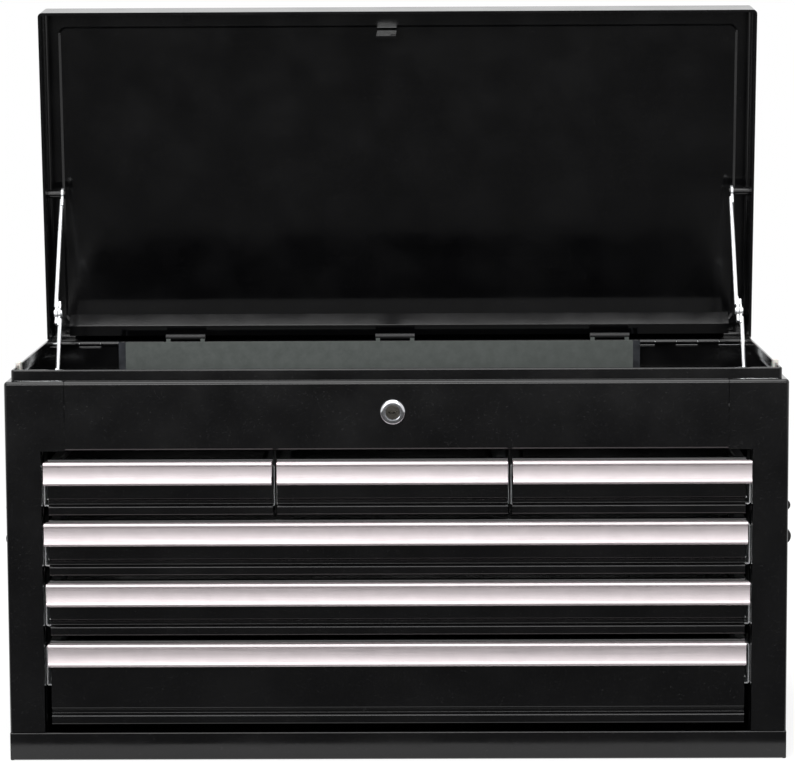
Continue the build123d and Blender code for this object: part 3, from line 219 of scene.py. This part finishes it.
# %% [markdown]
# ## Plastics
# The grips and the sleeves on the tabs are dipped vinyl with a fine leather-like grain; the
# sleeves' black is painted shade on the tabs. The bumpers on the rim are natural nylon, a milky
# white that lets a little light in.

# %% Plastic recipe
GRAIN_DEPTH = 0.08 * MM
SOAK_DISTANCE = 1 * MM        # how far light travels under the skin of the nylon


def make_plastic(name, colour, roughness, grain, soak):
    """Moulded plastic with rounded cells of grain. soak is the share of light that goes in."""
    material, tree = blank(name)
    place = add(tree, "ShaderNodeTexCoord").outputs["Object"]
    cells = add(tree, "ShaderNodeTexVoronoi", {"Vector": place, "Scale": 1 / grain})
    bump = add(tree, "ShaderNodeBump",
               {"Height": cells.outputs["Distance"], "Strength": 0.3, "Distance": GRAIN_DEPTH})
    rough = add(tree, "ShaderNodeMapRange",
                {"Value": cells.outputs["Distance"], "From Max": 0.8,
                 "To Min": roughness - 0.08, "To Max": roughness + 0.06})
    plastic = add(tree, "ShaderNodeBsdfPrincipled",
                  {"Base Color": linear(colour), "Roughness": rough.outputs["Result"],
                   "Normal": bump.outputs["Normal"], "Subsurface Weight": soak,
                   "Subsurface Scale": SOAK_DISTANCE})
    add(tree, "ShaderNodeOutputMaterial", {"Surface": plastic.outputs["BSDF"]})
    return material


# %% [markdown]
# ## Which part gets which finish
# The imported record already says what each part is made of. Two parts leave that rule: the bars
# that lock the drawers are dark phosphated steel, and the lid's studs are painted with the lid.

# %% Make the finishes and hand them out
ALONG_X = (0.02, 1, 1)
ALONG_Z = (1, 1, 0.05)
enamel = make_enamel("baked_black_enamel", "060607", "0b0b0c", 0.13, 0.45)
aluminium = make_metal("clear_anodised_aluminium", "e3dadc", "ded5d7", 0.54, ALONG_X,
                       line_size=0.8 * MM, depth=0.004 * MM)
zinc = make_metal("bright_zinc_plate", "eeeff0", "e2e4e6", 0.50, cloud_size=5 * MM,
                  depth=0.002 * MM)
galvanised = make_metal("galvanised_sheet", "5b5f5d", "555957", 0.50, line_size=3 * MM,
                        cloud_size=9 * MM, depth=0.004 * MM)
chrome = make_metal("polished_chrome", "dedfe2", "cfd0d4", 0.12, depth=0.002 * MM)
nickel = make_metal("worn_nickel", "8c8983", "66635d", 0.20, line_size=0.6 * MM,
                    depth=0.004 * MM)
phosphate = make_metal("phosphated_steel", "3e4044", "2c2d30", 0.45, ALONG_Z)
vinyl = make_plastic("black_dipped_vinyl", "141415", 0.50, 0.9 * MM, 0.0)
nylon = make_plastic("natural_nylon", "e6e3dc", 0.40, 0.7 * MM, 0.15)

finishes = {"black_enamel": enamel, "satin_aluminium": aluminium, "zinc_steel": zinc,
            "galvanised_steel": galvanised, "chrome_plate": chrome, "nickel_plate": nickel,
            "black_vinyl": vinyl, "nylon": nylon}
own_finish = {"drawer_lock_bars": phosphate, "lid_stay_studs": enamel}
slots = {part["node"]: part["material_slot"] for part in frame["record"]["subparts"]}
for name, node in nodes.items():
    node.data.materials.clear()
    node.data.materials.append(own_finish.get(name, finishes[slots[name]]))
print("finishes", len(finishes) + 1, "on", len(nodes), "parts")

# %% [markdown]
# ## Tools for modelling
# The pieces below start from blocks and rods that are added at their real size and place, which
# are then joined, cut and rounded. An operator acts on everything that is selected, so each step
# first selects only its own piece.

# %% Blocks and rods
def take(piece=None):
    """Leave edit mode and select only this piece."""
    if bpy.context.object and bpy.context.object.mode != "OBJECT":
        bpy.ops.object.mode_set(mode="OBJECT")
    bpy.ops.object.select_all(action="DESELECT")
    if piece:
        piece.select_set(True)
        bpy.context.view_layer.objects.active = piece


def add_block(low, high):
    """A block between two corners."""
    take()
    middle = [(a + b) / 2 for a, b in zip(low, high)]
    size = [b - a for a, b in zip(low, high)]
    bpy.ops.mesh.primitive_cube_add(size=1, location=middle, scale=size)
    bpy.ops.object.transform_apply()
    return bpy.context.object


def add_rod(start, end, radius, sides=32):
    """A round rod between two points."""
    take()
    start, end = Vector(start), Vector(end)
    lie = (end - start).to_track_quat("Z", "Y").to_euler()
    bpy.ops.mesh.primitive_cylinder_add(vertices=sides, radius=radius,
                                        depth=(end - start).length,
                                        location=(start + end) / 2, rotation=lie)
    bpy.ops.object.transform_apply()
    return bpy.context.object


# %% [markdown]
# Two pieces become one with a Boolean modifier, which also cuts holes. A narrow bevel then
# breaks every sharp edge, as a press or a die does, because an edge that is perfectly sharp
# catches no light and looks like a drawing.

# %% Joining and rounding
SHARP = math.radians(40)         # edges that turn more than this are rounded
ONE_SURFACE = math.radians(20)   # faces that turn less than this are shaded as one


def combine(piece, others, operation="UNION"):
    """Unite the others with the piece, or cut them out of it."""
    for other in others:
        take(piece)
        modifier = piece.modifiers.new("combine", "BOOLEAN")
        modifier.operation = operation
        modifier.solver = "EXACT"
        modifier.object = other
        bpy.ops.object.modifier_apply(modifier=modifier.name)
        bpy.data.objects.remove(other)
    return piece


def soften(piece, width, segments=2):
    """Round the sharp edges. Round parts are shaded smooth and flats stay flat."""
    take(piece)
    modifier = piece.modifiers.new("soften", "BEVEL")
    modifier.width = width
    modifier.segments = segments
    modifier.limit_method = "ANGLE"
    modifier.angle_limit = SHARP
    bpy.ops.object.modifier_apply(modifier=modifier.name)
    bpy.ops.object.shade_smooth_by_angle(angle=ONE_SURFACE)
    return piece


# %% [markdown]
# By hand one would click on a face, an edge or a corner. In code each is picked by its place or
# by the way it faces, which still works when a size changes.

# %% Selecting
def select_none(piece, kind):
    """Leave the piece with nothing selected, in FACE, EDGE or VERT mode."""
    take(piece)
    bpy.ops.object.mode_set(mode="EDIT")
    bpy.ops.mesh.select_mode(type=kind)
    bpy.ops.mesh.select_all(action="DESELECT")
    bpy.ops.object.mode_set(mode="OBJECT")


def select_faces(piece, test):
    """Edit the piece with just the faces selected that pass the test."""
    select_none(piece, "FACE")
    for face in piece.data.polygons:
        face.select = test(face)
    bpy.ops.object.mode_set(mode="EDIT")


def select_edges(piece, test):
    """Edit the piece with just the edges selected whose two ends lie where the test says."""
    select_none(piece, "EDGE")
    corners = piece.data.vertices
    for edge in piece.data.edges:
        edge.select = all(test(corners[v].co) for v in edge.vertices)
    bpy.ops.object.mode_set(mode="EDIT")


def select_corners(piece, test):
    """Edit the piece with just the corners selected that lie where the test says."""
    select_none(piece, "VERT")
    for corner in piece.data.vertices:
        corner.select = test(corner.co)
    bpy.ops.object.mode_set(mode="EDIT")


# %% [markdown]
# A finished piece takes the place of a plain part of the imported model. It gets the part's finish
# and moves with the part's body, so that it follows the joints.

# %% Putting a piece in its place
def put_on(piece, node, body, finish):
    """Name a finished piece for the part it stands for, and let it move with the body."""
    take()
    piece.name = "made_" + node
    piece.data.name = piece.name
    piece.data.materials.clear()
    piece.data.materials.append(finish)
    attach(piece, body)
    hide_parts(node)
    low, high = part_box(node)
    triangles = sum(len(face.vertices) - 2 for face in piece.data.polygons)
    print(piece.name, "triangles", triangles, "wide", round((high[0] - low[0]) / MM, 1), "mm")


# %% [markdown]
# ## The drawer pulls
# Each pull is one length of extruded aluminium: a flange that lies on the drawer's front, a web
# forward, and a flat between two round beads that the fingers curl around. A section like that
# could be drawn and swept, but joining plain lengths and softening the joins shows better how it
# is built up, and gives the small radius a die leaves in every corner.

# %% Model the pulls
PULL_WALL = 1.6 * MM
PULL_BEAD = 2.0 * MM            # radius of the two beads
PULL_FLANGE = 14.0 * MM
PULL_SETBACK = 1.1 * MM         # the flat lies this far behind the fronts of the beads
WEB_BELOW_BEAD = 1.1 * MM
DIE_RADIUS = 0.25 * MM
BEAD_SIDES = 24


def model_pull(node):
    """One pull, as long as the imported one."""
    (x0, y0, z0), (x1, y1, z1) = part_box(node)
    bead_y = y0 + PULL_BEAD
    web_z = z1 - WEB_BELOW_BEAD
    web = add_block((x0, bead_y, web_z - PULL_WALL), (x1, y1, web_z))
    flange = add_block((x0, y1 - PULL_WALL, z1 - PULL_FLANGE), (x1, y1, web_z))
    flat_y = y0 + PULL_SETBACK
    flat = add_block((x0, flat_y, z0 + PULL_BEAD), (x1, flat_y + PULL_WALL, z1 - PULL_BEAD))
    beads = [add_rod((x0, bead_y, z), (x1, bead_y, z), PULL_BEAD, BEAD_SIDES)
             for z in (z1 - PULL_BEAD, z0 + PULL_BEAD)]
    return soften(combine(web, [flange, flat, *beads]), DIE_RADIUS)


DRAWERS = ("small_drawer_left", "small_drawer_middle", "small_drawer_right", "upper_drawer",
           "middle_drawer", "deep_drawer")
for drawer in DRAWERS:
    put_on(model_pull(drawer + "_pull"), drawer + "_pull", drawer, aluminium)

# %% [markdown]
# ## The lock
# A chromed bezel with a full rolled edge steps down to the key plug, and its tube passes through
# the rail. It is turned work, so it starts as one disc: the front is inset and pushed in for the
# step, the back is inset and pulled out for the tube, and the two middles are bridged into the
# bore.

# %% Model the lock's housing
BEZEL_DEPTH = 3.0 * MM
BEZEL_ROLL = 2.5 * MM
RECESS_DEPTH = 1.3 * MM
RECESS_R = 6.9 * MM
RECESS_LEAN = 0.2 * MM          # the step's wall leans in by this much
TUBE_R = 9.5 * MM
BORE_R = 6.05 * MM
TURNED = math.radians(35)       # steps steeper than this stay crisp on turned work
(lock_x0, lock_y0, lock_z0), (lock_x1, lock_y1, lock_z1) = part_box("lock_housing")
LOCK_CENTRE = ((lock_x0 + lock_x1) / 2, (lock_z0 + lock_z1) / 2)
BEZEL_R = (lock_x1 - lock_x0) / 2


def at_lock(y):
    """Point on the lock's axis."""
    return (LOCK_CENTRE[0], y, LOCK_CENTRE[1])


def looks_front(face):
    return face.normal.y < -0.9


def looks_back(face):
    return face.normal.y > 0.9


def is_cap(face):
    """Only the round end faces have more than four corners."""
    return len(face.vertices) > 4


rail_y = lock_y0 + BEZEL_DEPTH
housing = add_rod(at_lock(rail_y), at_lock(lock_y0), BEZEL_R, 64)
select_faces(housing, looks_front)
bpy.ops.mesh.bevel(offset=BEZEL_ROLL, segments=8, affect="EDGES")
select_faces(housing, lambda face: looks_front(face) and is_cap(face))
bpy.ops.mesh.inset(thickness=BEZEL_R - BEZEL_ROLL - RECESS_R)
bpy.ops.mesh.inset(thickness=RECESS_LEAN)
bpy.ops.transform.translate(value=(0, RECESS_DEPTH, 0))
bpy.ops.mesh.inset(thickness=RECESS_R - RECESS_LEAN - BORE_R)
select_faces(housing, lambda face: looks_back(face) and is_cap(face))
bpy.ops.mesh.inset(thickness=BEZEL_R - TUBE_R)
bpy.ops.mesh.extrude_region_move(TRANSFORM_OT_translate={"value": (0, lock_y1 - rail_y, 0)})
bpy.ops.mesh.inset(thickness=TUBE_R - BORE_R)
select_faces(housing, is_cap)
bpy.ops.mesh.bridge_edge_loops()
take(housing)
bpy.ops.object.shade_smooth_by_angle(angle=TURNED)
put_on(housing, "lock_housing", "case", chrome)

# %% [markdown]
# The plug is a turned core that sits a little behind the bezel. Its keyway is cut by a thin
# block, and a thinner tail goes back to the cam.

# %% Model the key plug
PLUG_R = 6.0 * MM
PLUG_EDGE = 0.35 * MM
TAIL_R = 4.0 * MM
KEYWAY_HALF_LENGTH = 3.5 * MM
KEYWAY_HALF_WIDTH = 0.9 * MM
KEYWAY_DEPTH = 12.0 * MM
(_, plug_y0, _), (_, plug_y1, _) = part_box("lock_plug")
plug = add_rod(at_lock(plug_y0), at_lock(lock_y1), PLUG_R, 64)
tail = add_rod(at_lock(lock_y1 - MM), at_lock(plug_y1), TAIL_R)
x, z = LOCK_CENTRE
key_hole = add_block((x - KEYWAY_HALF_LENGTH, plug_y0 - MM, z - KEYWAY_HALF_WIDTH),
                     (x + KEYWAY_HALF_LENGTH, plug_y0 + KEYWAY_DEPTH, z + KEYWAY_HALF_WIDTH))
combine(plug, [tail])
combine(plug, [key_hole], "DIFFERENCE")
put_on(soften(plug, PLUG_EDGE), "lock_plug", "lock_core", nickel)

# %% [markdown]
# ## The lid stays
# Two zinc-plated rods hold the lid, each with flattened ends. The lower one turns on a stud in
# the case, the upper one on a stud in the lid, and a rivet joins them at the knuckle, where each
# has a short tail that meets the other and stops the lid just short of upright. Both sides use
# the same pair, so it is modelled once.

# %% Measure the stays
EYE_R = 5.5 * MM
upper_box, lower_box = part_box("stay_upper_right"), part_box("stay_lower_right")
lid_pivot = Vector((0, upper_box[1][1] - EYE_R, upper_box[1][2] - EYE_R))
knuckle = Vector((0, upper_box[0][1] + EYE_R, upper_box[0][2] + EYE_R))
case_pivot = Vector((0, lower_box[0][1] + EYE_R, lower_box[0][2] + EYE_R))
# The links fold past each other, one on either side of this x.
fold_x = (upper_box[1][0] + lower_box[0][0]) / 2
print("links", round((lid_pivot - knuckle).length / MM, 1), "and",
      round((knuckle - case_pivot).length / MM, 1), "mm between pivots")

# %% [markdown]
# A link is a rod between two eyes. A flat blade joins each eye to the rod, as a press leaves it
# when it flattens the end, and a second blade runs on past the knuckle as the tail.

# %% Model the stays
EYE_T = 2.0 * MM                # thickness of the flattened ends
ROD_R = 1.8 * MM
ROD_BEHIND_EYE = 0.6 * MM
LINK_GAP = 0.6 * MM
STAY_BORE = 2.55 * MM
BLADE_LENGTH = 13.0 * MM
BLADE_WIDTH = 6.4 * MM
TAIL_LENGTH = 11.0 * MM
TAIL_WIDTH = 5.0 * MM
RIVET_R = 3.2 * MM
RIVET_HEAD = 1.2 * MM
LINK_EDGE = 0.3 * MM


def add_blade(x_low, start, direction, length, width):
    """A flat bar lying along the link."""
    take()
    middle = start + direction * length / 2 + Vector((x_low + EYE_T / 2, 0, 0))
    lean = math.atan2(-direction.y, direction.z)
    bpy.ops.mesh.primitive_cube_add(size=1, location=middle, scale=(EYE_T, width, length),
                                    rotation=(lean, 0, 0))
    bpy.ops.object.transform_apply()
    return bpy.context.object


def model_link(pivot, side):
    """One link from its stud to the knuckle, wholly left (-1) or right (+1) of fold_x."""
    inner = fold_x + side * LINK_GAP / 2
    x_low = min(inner, inner + side * EYE_T)
    along = (knuckle - pivot).normalized()
    rod_x = Vector((inner + side * ROD_R, 0, 0))
    inset = along * (EYE_R + ROD_BEHIND_EYE)
    link = add_rod(rod_x + pivot + inset, rod_x + knuckle - inset, ROD_R, 24)
    parts = []
    for spot, way in ((pivot, along), (knuckle, -along)):
        parts.append(add_rod((x_low, spot.y, spot.z), (x_low + EYE_T, spot.y, spot.z), EYE_R))
        parts.append(add_blade(x_low, spot, way, BLADE_LENGTH, BLADE_WIDTH))
    parts.append(add_blade(x_low, knuckle, along, TAIL_LENGTH, TAIL_WIDTH))
    combine(link, parts)
    bore = add_rod((x_low - MM, pivot.y, pivot.z), (x_low + EYE_T + MM, pivot.y, pivot.z),
                   STAY_BORE)
    combine(link, [bore], "DIFFERENCE")
    outside = x_low + (EYE_T if side > 0 else 0)
    rivet = add_rod((outside - side * MM, knuckle.y, knuckle.z),
                    (outside + side * RIVET_HEAD, knuckle.y, knuckle.z), RIVET_R)
    return soften(combine(link, [rivet]), LINK_EDGE)


for part, pivot, side in (("stay_upper", lid_pivot, -1), ("stay_lower", case_pivot, 1)):
    right = model_link(pivot, side)
    left = right.copy()
    left.data = right.data.copy()
    bpy.context.scene.collection.objects.link(left)
    left.data.transform(Matrix.Translation((-2 * fold_x, 0, 0)))
    put_on(right, part + "_right", part + "_right", zinc)
    put_on(left, part + "_left", part + "_left", zinc)

# %% [markdown]
# ## The side handles
# Each handle is a bent and chromed rod whose turned-out ends go through the ears of its plate. A
# path of straight runs is drawn first, its corners are rounded, and a round section is carried
# along it.

# %% Model the bails
BAIL_R = 2.8 * MM
BAIL_BEND = 7.0 * MM
ARM_INSIDE_EAR = 10.1 * MM      # from the end of the rod to the middle of its arm
ROD_SHADE = math.radians(50)


def model_bail(node):
    """A rod bent to three sides of a frame, with its two ends turned out."""
    (x0, y0, z0), (x1, y1, z1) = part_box(node)
    x, low, high = (x0 + x1) / 2, z0 + BAIL_R, z1 - BAIL_R
    arm = y1 - ARM_INSIDE_EAR
    take()
    bpy.ops.mesh.primitive_plane_add(size=1, location=(x, 0, (low + high) / 2),
                                     rotation=(0, math.pi / 2, 0))
    bail = bpy.context.object
    bail.scale = (high - low, 2 * arm, 1)
    bpy.ops.object.transform_apply()
    select_edges(bail, lambda place: place.z > high - MM)
    bpy.ops.mesh.delete(type="EDGE")
    for way in (-1, 1):
        select_corners(bail, lambda place: place.z > high - MM and place.y * way > 0)
        turned_out = (0, way * (y1 - arm), 0)
        bpy.ops.mesh.extrude_vertices_move(TRANSFORM_OT_translate={"value": turned_out})
    bpy.ops.mesh.select_all(action="SELECT")
    bpy.ops.mesh.bevel(offset=BAIL_BEND, segments=6, affect="VERTICES")
    take(bail)
    bpy.ops.object.convert(target="CURVE")
    bail = bpy.context.object
    bail.data.bevel_depth = BAIL_R
    bail.data.bevel_resolution = 5
    bail.data.use_fill_caps = True
    bpy.ops.object.convert(target="MESH")
    bail = bpy.context.object
    bpy.ops.object.shade_smooth_by_angle(angle=ROD_SHADE)
    return bail


# %% [markdown]
# The grip is a vinyl sleeve dipped with ribs that give the fingers a hold. It grows from one
# disc: each extrusion goes half a rib along and is then scaled out to a crest or in to a valley.

# %% Model the grips
GRIP_R = 7.5 * MM
GRIP_RIB = 3.0 * MM
RIB_DEPTH = 0.5 * MM
RIB_SHADE = math.radians(60)


def model_grip(node):
    """Rib after rib pulled out of a disc along the handle."""
    (x0, y0, z0), (x1, y1, z1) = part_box(node)
    x, z = (x0 + x1) / 2, (z0 + z1) / 2
    ribs = int((y1 - y0) / GRIP_RIB)
    half_rib = (y1 - y0) / ribs / 2
    crest, valley = GRIP_R, GRIP_R - RIB_DEPTH
    grip = add_rod((x, y0, z), (x, y0 + half_rib, z), valley)
    select_faces(grip, looks_back)
    for step in range(2 * ribs - 1):
        wide = crest / valley if step % 2 == 0 else valley / crest
        bpy.ops.mesh.extrude_region_move(TRANSFORM_OT_translate={"value": (0, half_rib, 0)})
        bpy.ops.transform.resize(value=(wide, 1, wide), center_override=(x, 0, z))
    take(grip)
    bpy.ops.object.shade_smooth_by_angle(angle=RIB_SHADE)
    return grip


for side in ("right", "left"):
    put_on(model_bail("handle_bail_" + side), "handle_bail_" + side, "handle_" + side, chrome)
    put_on(model_grip("handle_grip_" + side), "handle_grip_" + side, "handle_" + side, vinyl)

# %% [markdown]
# ## The channel along the lid's rear edge
# A folded stiffener runs along the hinge. Its web leans forward from the foot and then turns
# back in a broad facet, which carries the one wide highlight inside the lid. It starts as a
# block whose upper front edge is chamfered to make the facet, and the facet is brought forward.
# The faces that are open on the real fold are deleted, the top is let down towards the lid, and
# at last the sheet gets its thickness and its folds are rounded.

# %% Model the channel
CHANNEL_HEIGHT = 20.0 * MM
CHANNEL_SHEET = 1.2 * MM
FACET = 9.8 * MM
FACET_FORWARD = 4.3 * MM
REAR_FALL = 12.0 * MM
FOLD_R = 0.8 * MM
(x0, y0, z0), (x1, y1, z1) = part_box("lid_rear_channel")
print("channel box", [round(v / MM, 1) for v in (x0, y0, z0, x1, y1, z1)])
z1 = z0 + CHANNEL_HEIGHT
channel = add_block((x0, y0, z0), (x1, y1, z1))
select_edges(channel, lambda place: place.y < y0 + MM and place.z > z1 - MM)
bpy.ops.mesh.bevel(offset=FACET, segments=1, affect="EDGES")
select_corners(channel, lambda place: place.y < y0 + FACET + MM and place.z > z1 - FACET - MM)
bpy.ops.transform.translate(value=(0, -FACET_FORWARD, 0))
select_faces(channel, lambda face: face.normal.z < -0.9 or looks_back(face))
bpy.ops.mesh.delete(type="FACE")
select_corners(channel, lambda place: place.y > y1 - MM and place.z > z1 - MM)
bpy.ops.transform.translate(value=(0, 0, -REAR_FALL))
take(channel)
modifier = channel.modifiers.new("sheet", "SOLIDIFY")
modifier.thickness = CHANNEL_SHEET
modifier.offset = -1
bpy.ops.object.modifier_apply(modifier=modifier.name)
put_on(soften(channel, FOLD_R, 1), "lid_rear_channel", "lid", enamel)

# %% [markdown]
# ## Sleeves on the lock plate's tabs, dark as painted shade
# The shut lid lands on three rolled tabs of the lock plate and pushes it down. Each roll wears a
# short length of black vinyl tube, which is painted shade: its black makes each tab as dark as
# the shade under its roll. A tube is a rod bored through.

# %% Model the sleeves
SLEEVE_R = 2.6 * MM
SLEEVE_BORE = 2.15 * MM
SLEEVE_HALF = 18.4 * MM
SLEEVE_EDGE = 0.1 * MM
ROLL_BELOW_TOP = 2.1 * MM
TAB_X = (-199.5 * MM, -3.5 * MM, 197.0 * MM)
plate_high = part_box("drawer_lock_plate")[1]
roll_y, roll_z = plate_high[1] - ROLL_BELOW_TOP, plate_high[2] - ROLL_BELOW_TOP
print("rolls at", round(roll_y / MM, 1), round(roll_z / MM, 1))
for number, x in enumerate(TAB_X, 1):
    sleeve = add_rod((x - SLEEVE_HALF, roll_y, roll_z), (x + SLEEVE_HALF, roll_y, roll_z),
                     SLEEVE_R)
    bore = add_rod((x - SLEEVE_HALF - MM, roll_y, roll_z),
                   (x + SLEEVE_HALF + MM, roll_y, roll_z), SLEEVE_BORE)
    combine(sleeve, [bore], "DIFFERENCE")
    soften(sleeve, SLEEVE_EDGE)
    take()
    sleeve.name = "tab_shade_sleeve_%d" % number
    # The black sleeve stands in for the shade under the roll: painted shade.
    sleeve.data.materials.clear()
    sleeve.data.materials.append(vinyl)
    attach(sleeve, "drawer_lock")

# %% [markdown]
# ## The studio
# The photograph is a product shot on a seamless white ground with a soft shadow. The floor is
# plain and pale. To the camera, and in reflections, it turns to pure white with distance, so no
# horizon shows, while the light it throws back onto the chest stays that of an ordinary pale
# floor.

# %% Floor
FLOOR_SIZE = 16
FLOOR_COLOUR = "f2f2f2"
WHITER_FROM, ALL_WHITE_FROM = 0.9, 2.2      # metres from the chest
CATCHES_NEAR, GLOWS_NEAR = 0.40, 0.70       # under the chest: light it catches, light it adds


def is_seen(tree):
    """1 where a ray shows the surface, directly, in a reflection or through glass."""
    path = add(tree, "ShaderNodeLightPath").outputs
    shown = add(tree, "ShaderNodeMath", {0: path["Is Camera Ray"], 1: path["Is Glossy Ray"]},
                operation="MAXIMUM")
    shown = add(tree, "ShaderNodeMath", {0: shown.outputs[0], 1: path["Is Transmission Ray"]},
                operation="MAXIMUM")
    return shown.outputs[0]


take()
bpy.ops.mesh.primitive_plane_add(size=FLOOR_SIZE, location=(0, 0, 0))
floor = bpy.context.object
floor.name = "floor"
material, tree = blank("pale_floor")
place = add(tree, "ShaderNodeTexCoord").outputs["Object"]
away = add(tree, "ShaderNodeVectorMath", {0: place}, operation="LENGTH")
fade = add(tree, "ShaderNodeMapRange",
           {"Value": away.outputs["Value"], "From Min": WHITER_FROM, "From Max": ALL_WHITE_FROM},
           interpolation_type="SMOOTHSTEP")
near_white = add(tree, "ShaderNodeMapRange",
                 {"Value": fade.outputs["Result"], "To Min": CATCHES_NEAR, "To Max": 0.0})
glow = add(tree, "ShaderNodeMapRange",
           {"Value": fade.outputs["Result"], "To Min": GLOWS_NEAR, "To Max": 1.0})
catch = add(tree, "ShaderNodeBsdfDiffuse", {"Color": near_white.outputs["Result"]})
shine = add(tree, "ShaderNodeEmission", {"Strength": glow.outputs["Result"]})
both = add(tree, "ShaderNodeAddShader", {0: catch.outputs[0], 1: shine.outputs[0]})
plain = add(tree, "ShaderNodeBsdfDiffuse", {"Color": linear(FLOOR_COLOUR)})
pick = add(tree, "ShaderNodeMixShader", {0: is_seen(tree), 1: plain.outputs[0],
                                         2: both.outputs[0]})
add(tree, "ShaderNodeOutputMaterial", {"Surface": pick.outputs[0]})
floor.data.materials.append(material)

# %% [markdown]
# The world gives an even, soft fill. It looks white to the camera and in the metal, as the paper
# backdrop of a studio does, but lights the chest at a plain level.

# %% World
FILL_LIGHT = 0.55
world = bpy.data.worlds.new("studio")
bpy.context.scene.world = world
world.use_nodes = True
tree = world.node_tree
tree.nodes.clear()
level = add(tree, "ShaderNodeMapRange",
            {"Value": is_seen(tree), "To Min": FILL_LIGHT, "To Max": 1.0})
sky = add(tree, "ShaderNodeBackground",
          {"Color": (1, 1, 1, 1), "Strength": level.outputs["Result"]})
add(tree, "ShaderNodeOutputWorld", {"Surface": sky.outputs["Background"]})

# %% [markdown]
# Two large softboxes shape it: a high one, which the lid's sloping channel and every folded edge
# catch, and a lower one in front, a little to the left, because the photograph's left edges are
# lighter than its right ones.

# %% Softboxes
CHEST_MIDDLE = Vector((0, 0, 0.3))


def add_softbox(name, place, size, power):
    """A rectangular lamp, size in metres and power in watts, aimed at the chest."""
    data = bpy.data.lights.new(name, "AREA")
    data.shape = "RECTANGLE"
    data.size, data.size_y = size
    data.energy = power
    light = bpy.data.objects.new(name, data)
    bpy.context.scene.collection.objects.link(light)
    aim = (CHEST_MIDDLE - Vector(place)).to_track_quat("-Z", "Y")
    light.matrix_world = Matrix.Translation(place) @ aim.to_matrix().to_4x4()


add_softbox("high_softbox", place=(-0.2, -0.6, 2.2), size=(2.4, 2.2), power=46)
add_softbox("front_softbox", place=(-0.5, -3.2, 0.95), size=(2.4, 0.7), power=30)
bpy.context.scene.view_settings.view_transform = "Standard"

# %% [markdown]
# Glossy black paint shows what stands in front of it, and in the photograph that is a dim room:
# the drawers are nearly black and only folds and beads shine. Photographers get this with a
# flag, a dark card on the floor in front. This one is seen by reflections only, so it neither
# shows nor shades anything.

# %% Dark card for reflections
CARD_GREY = 0.12
CARD_WIDTH = 4.4
CARD_NEAR, CARD_FAR = -0.20, -5.95      # y of its edges next to the chest and far off
CARD_LIFT = 4 * MM
take()
bpy.ops.mesh.primitive_plane_add(size=1, location=(0, (CARD_NEAR + CARD_FAR) / 2, CARD_LIFT))
card = bpy.context.object
card.name = "dark_card"
card.scale = (CARD_WIDTH, CARD_NEAR - CARD_FAR, 1)
bpy.ops.object.transform_apply()
material, tree = blank("dim_card")
dim = add(tree, "ShaderNodeEmission", {"Color": (1, 1, 1, 1), "Strength": CARD_GREY})
add(tree, "ShaderNodeOutputMaterial", {"Surface": dim.outputs[0]})
card.data.materials.append(material)
for ray in ("camera", "diffuse", "transmission", "shadow", "volume_scatter"):
    setattr(card, "visible_" + ray, False)
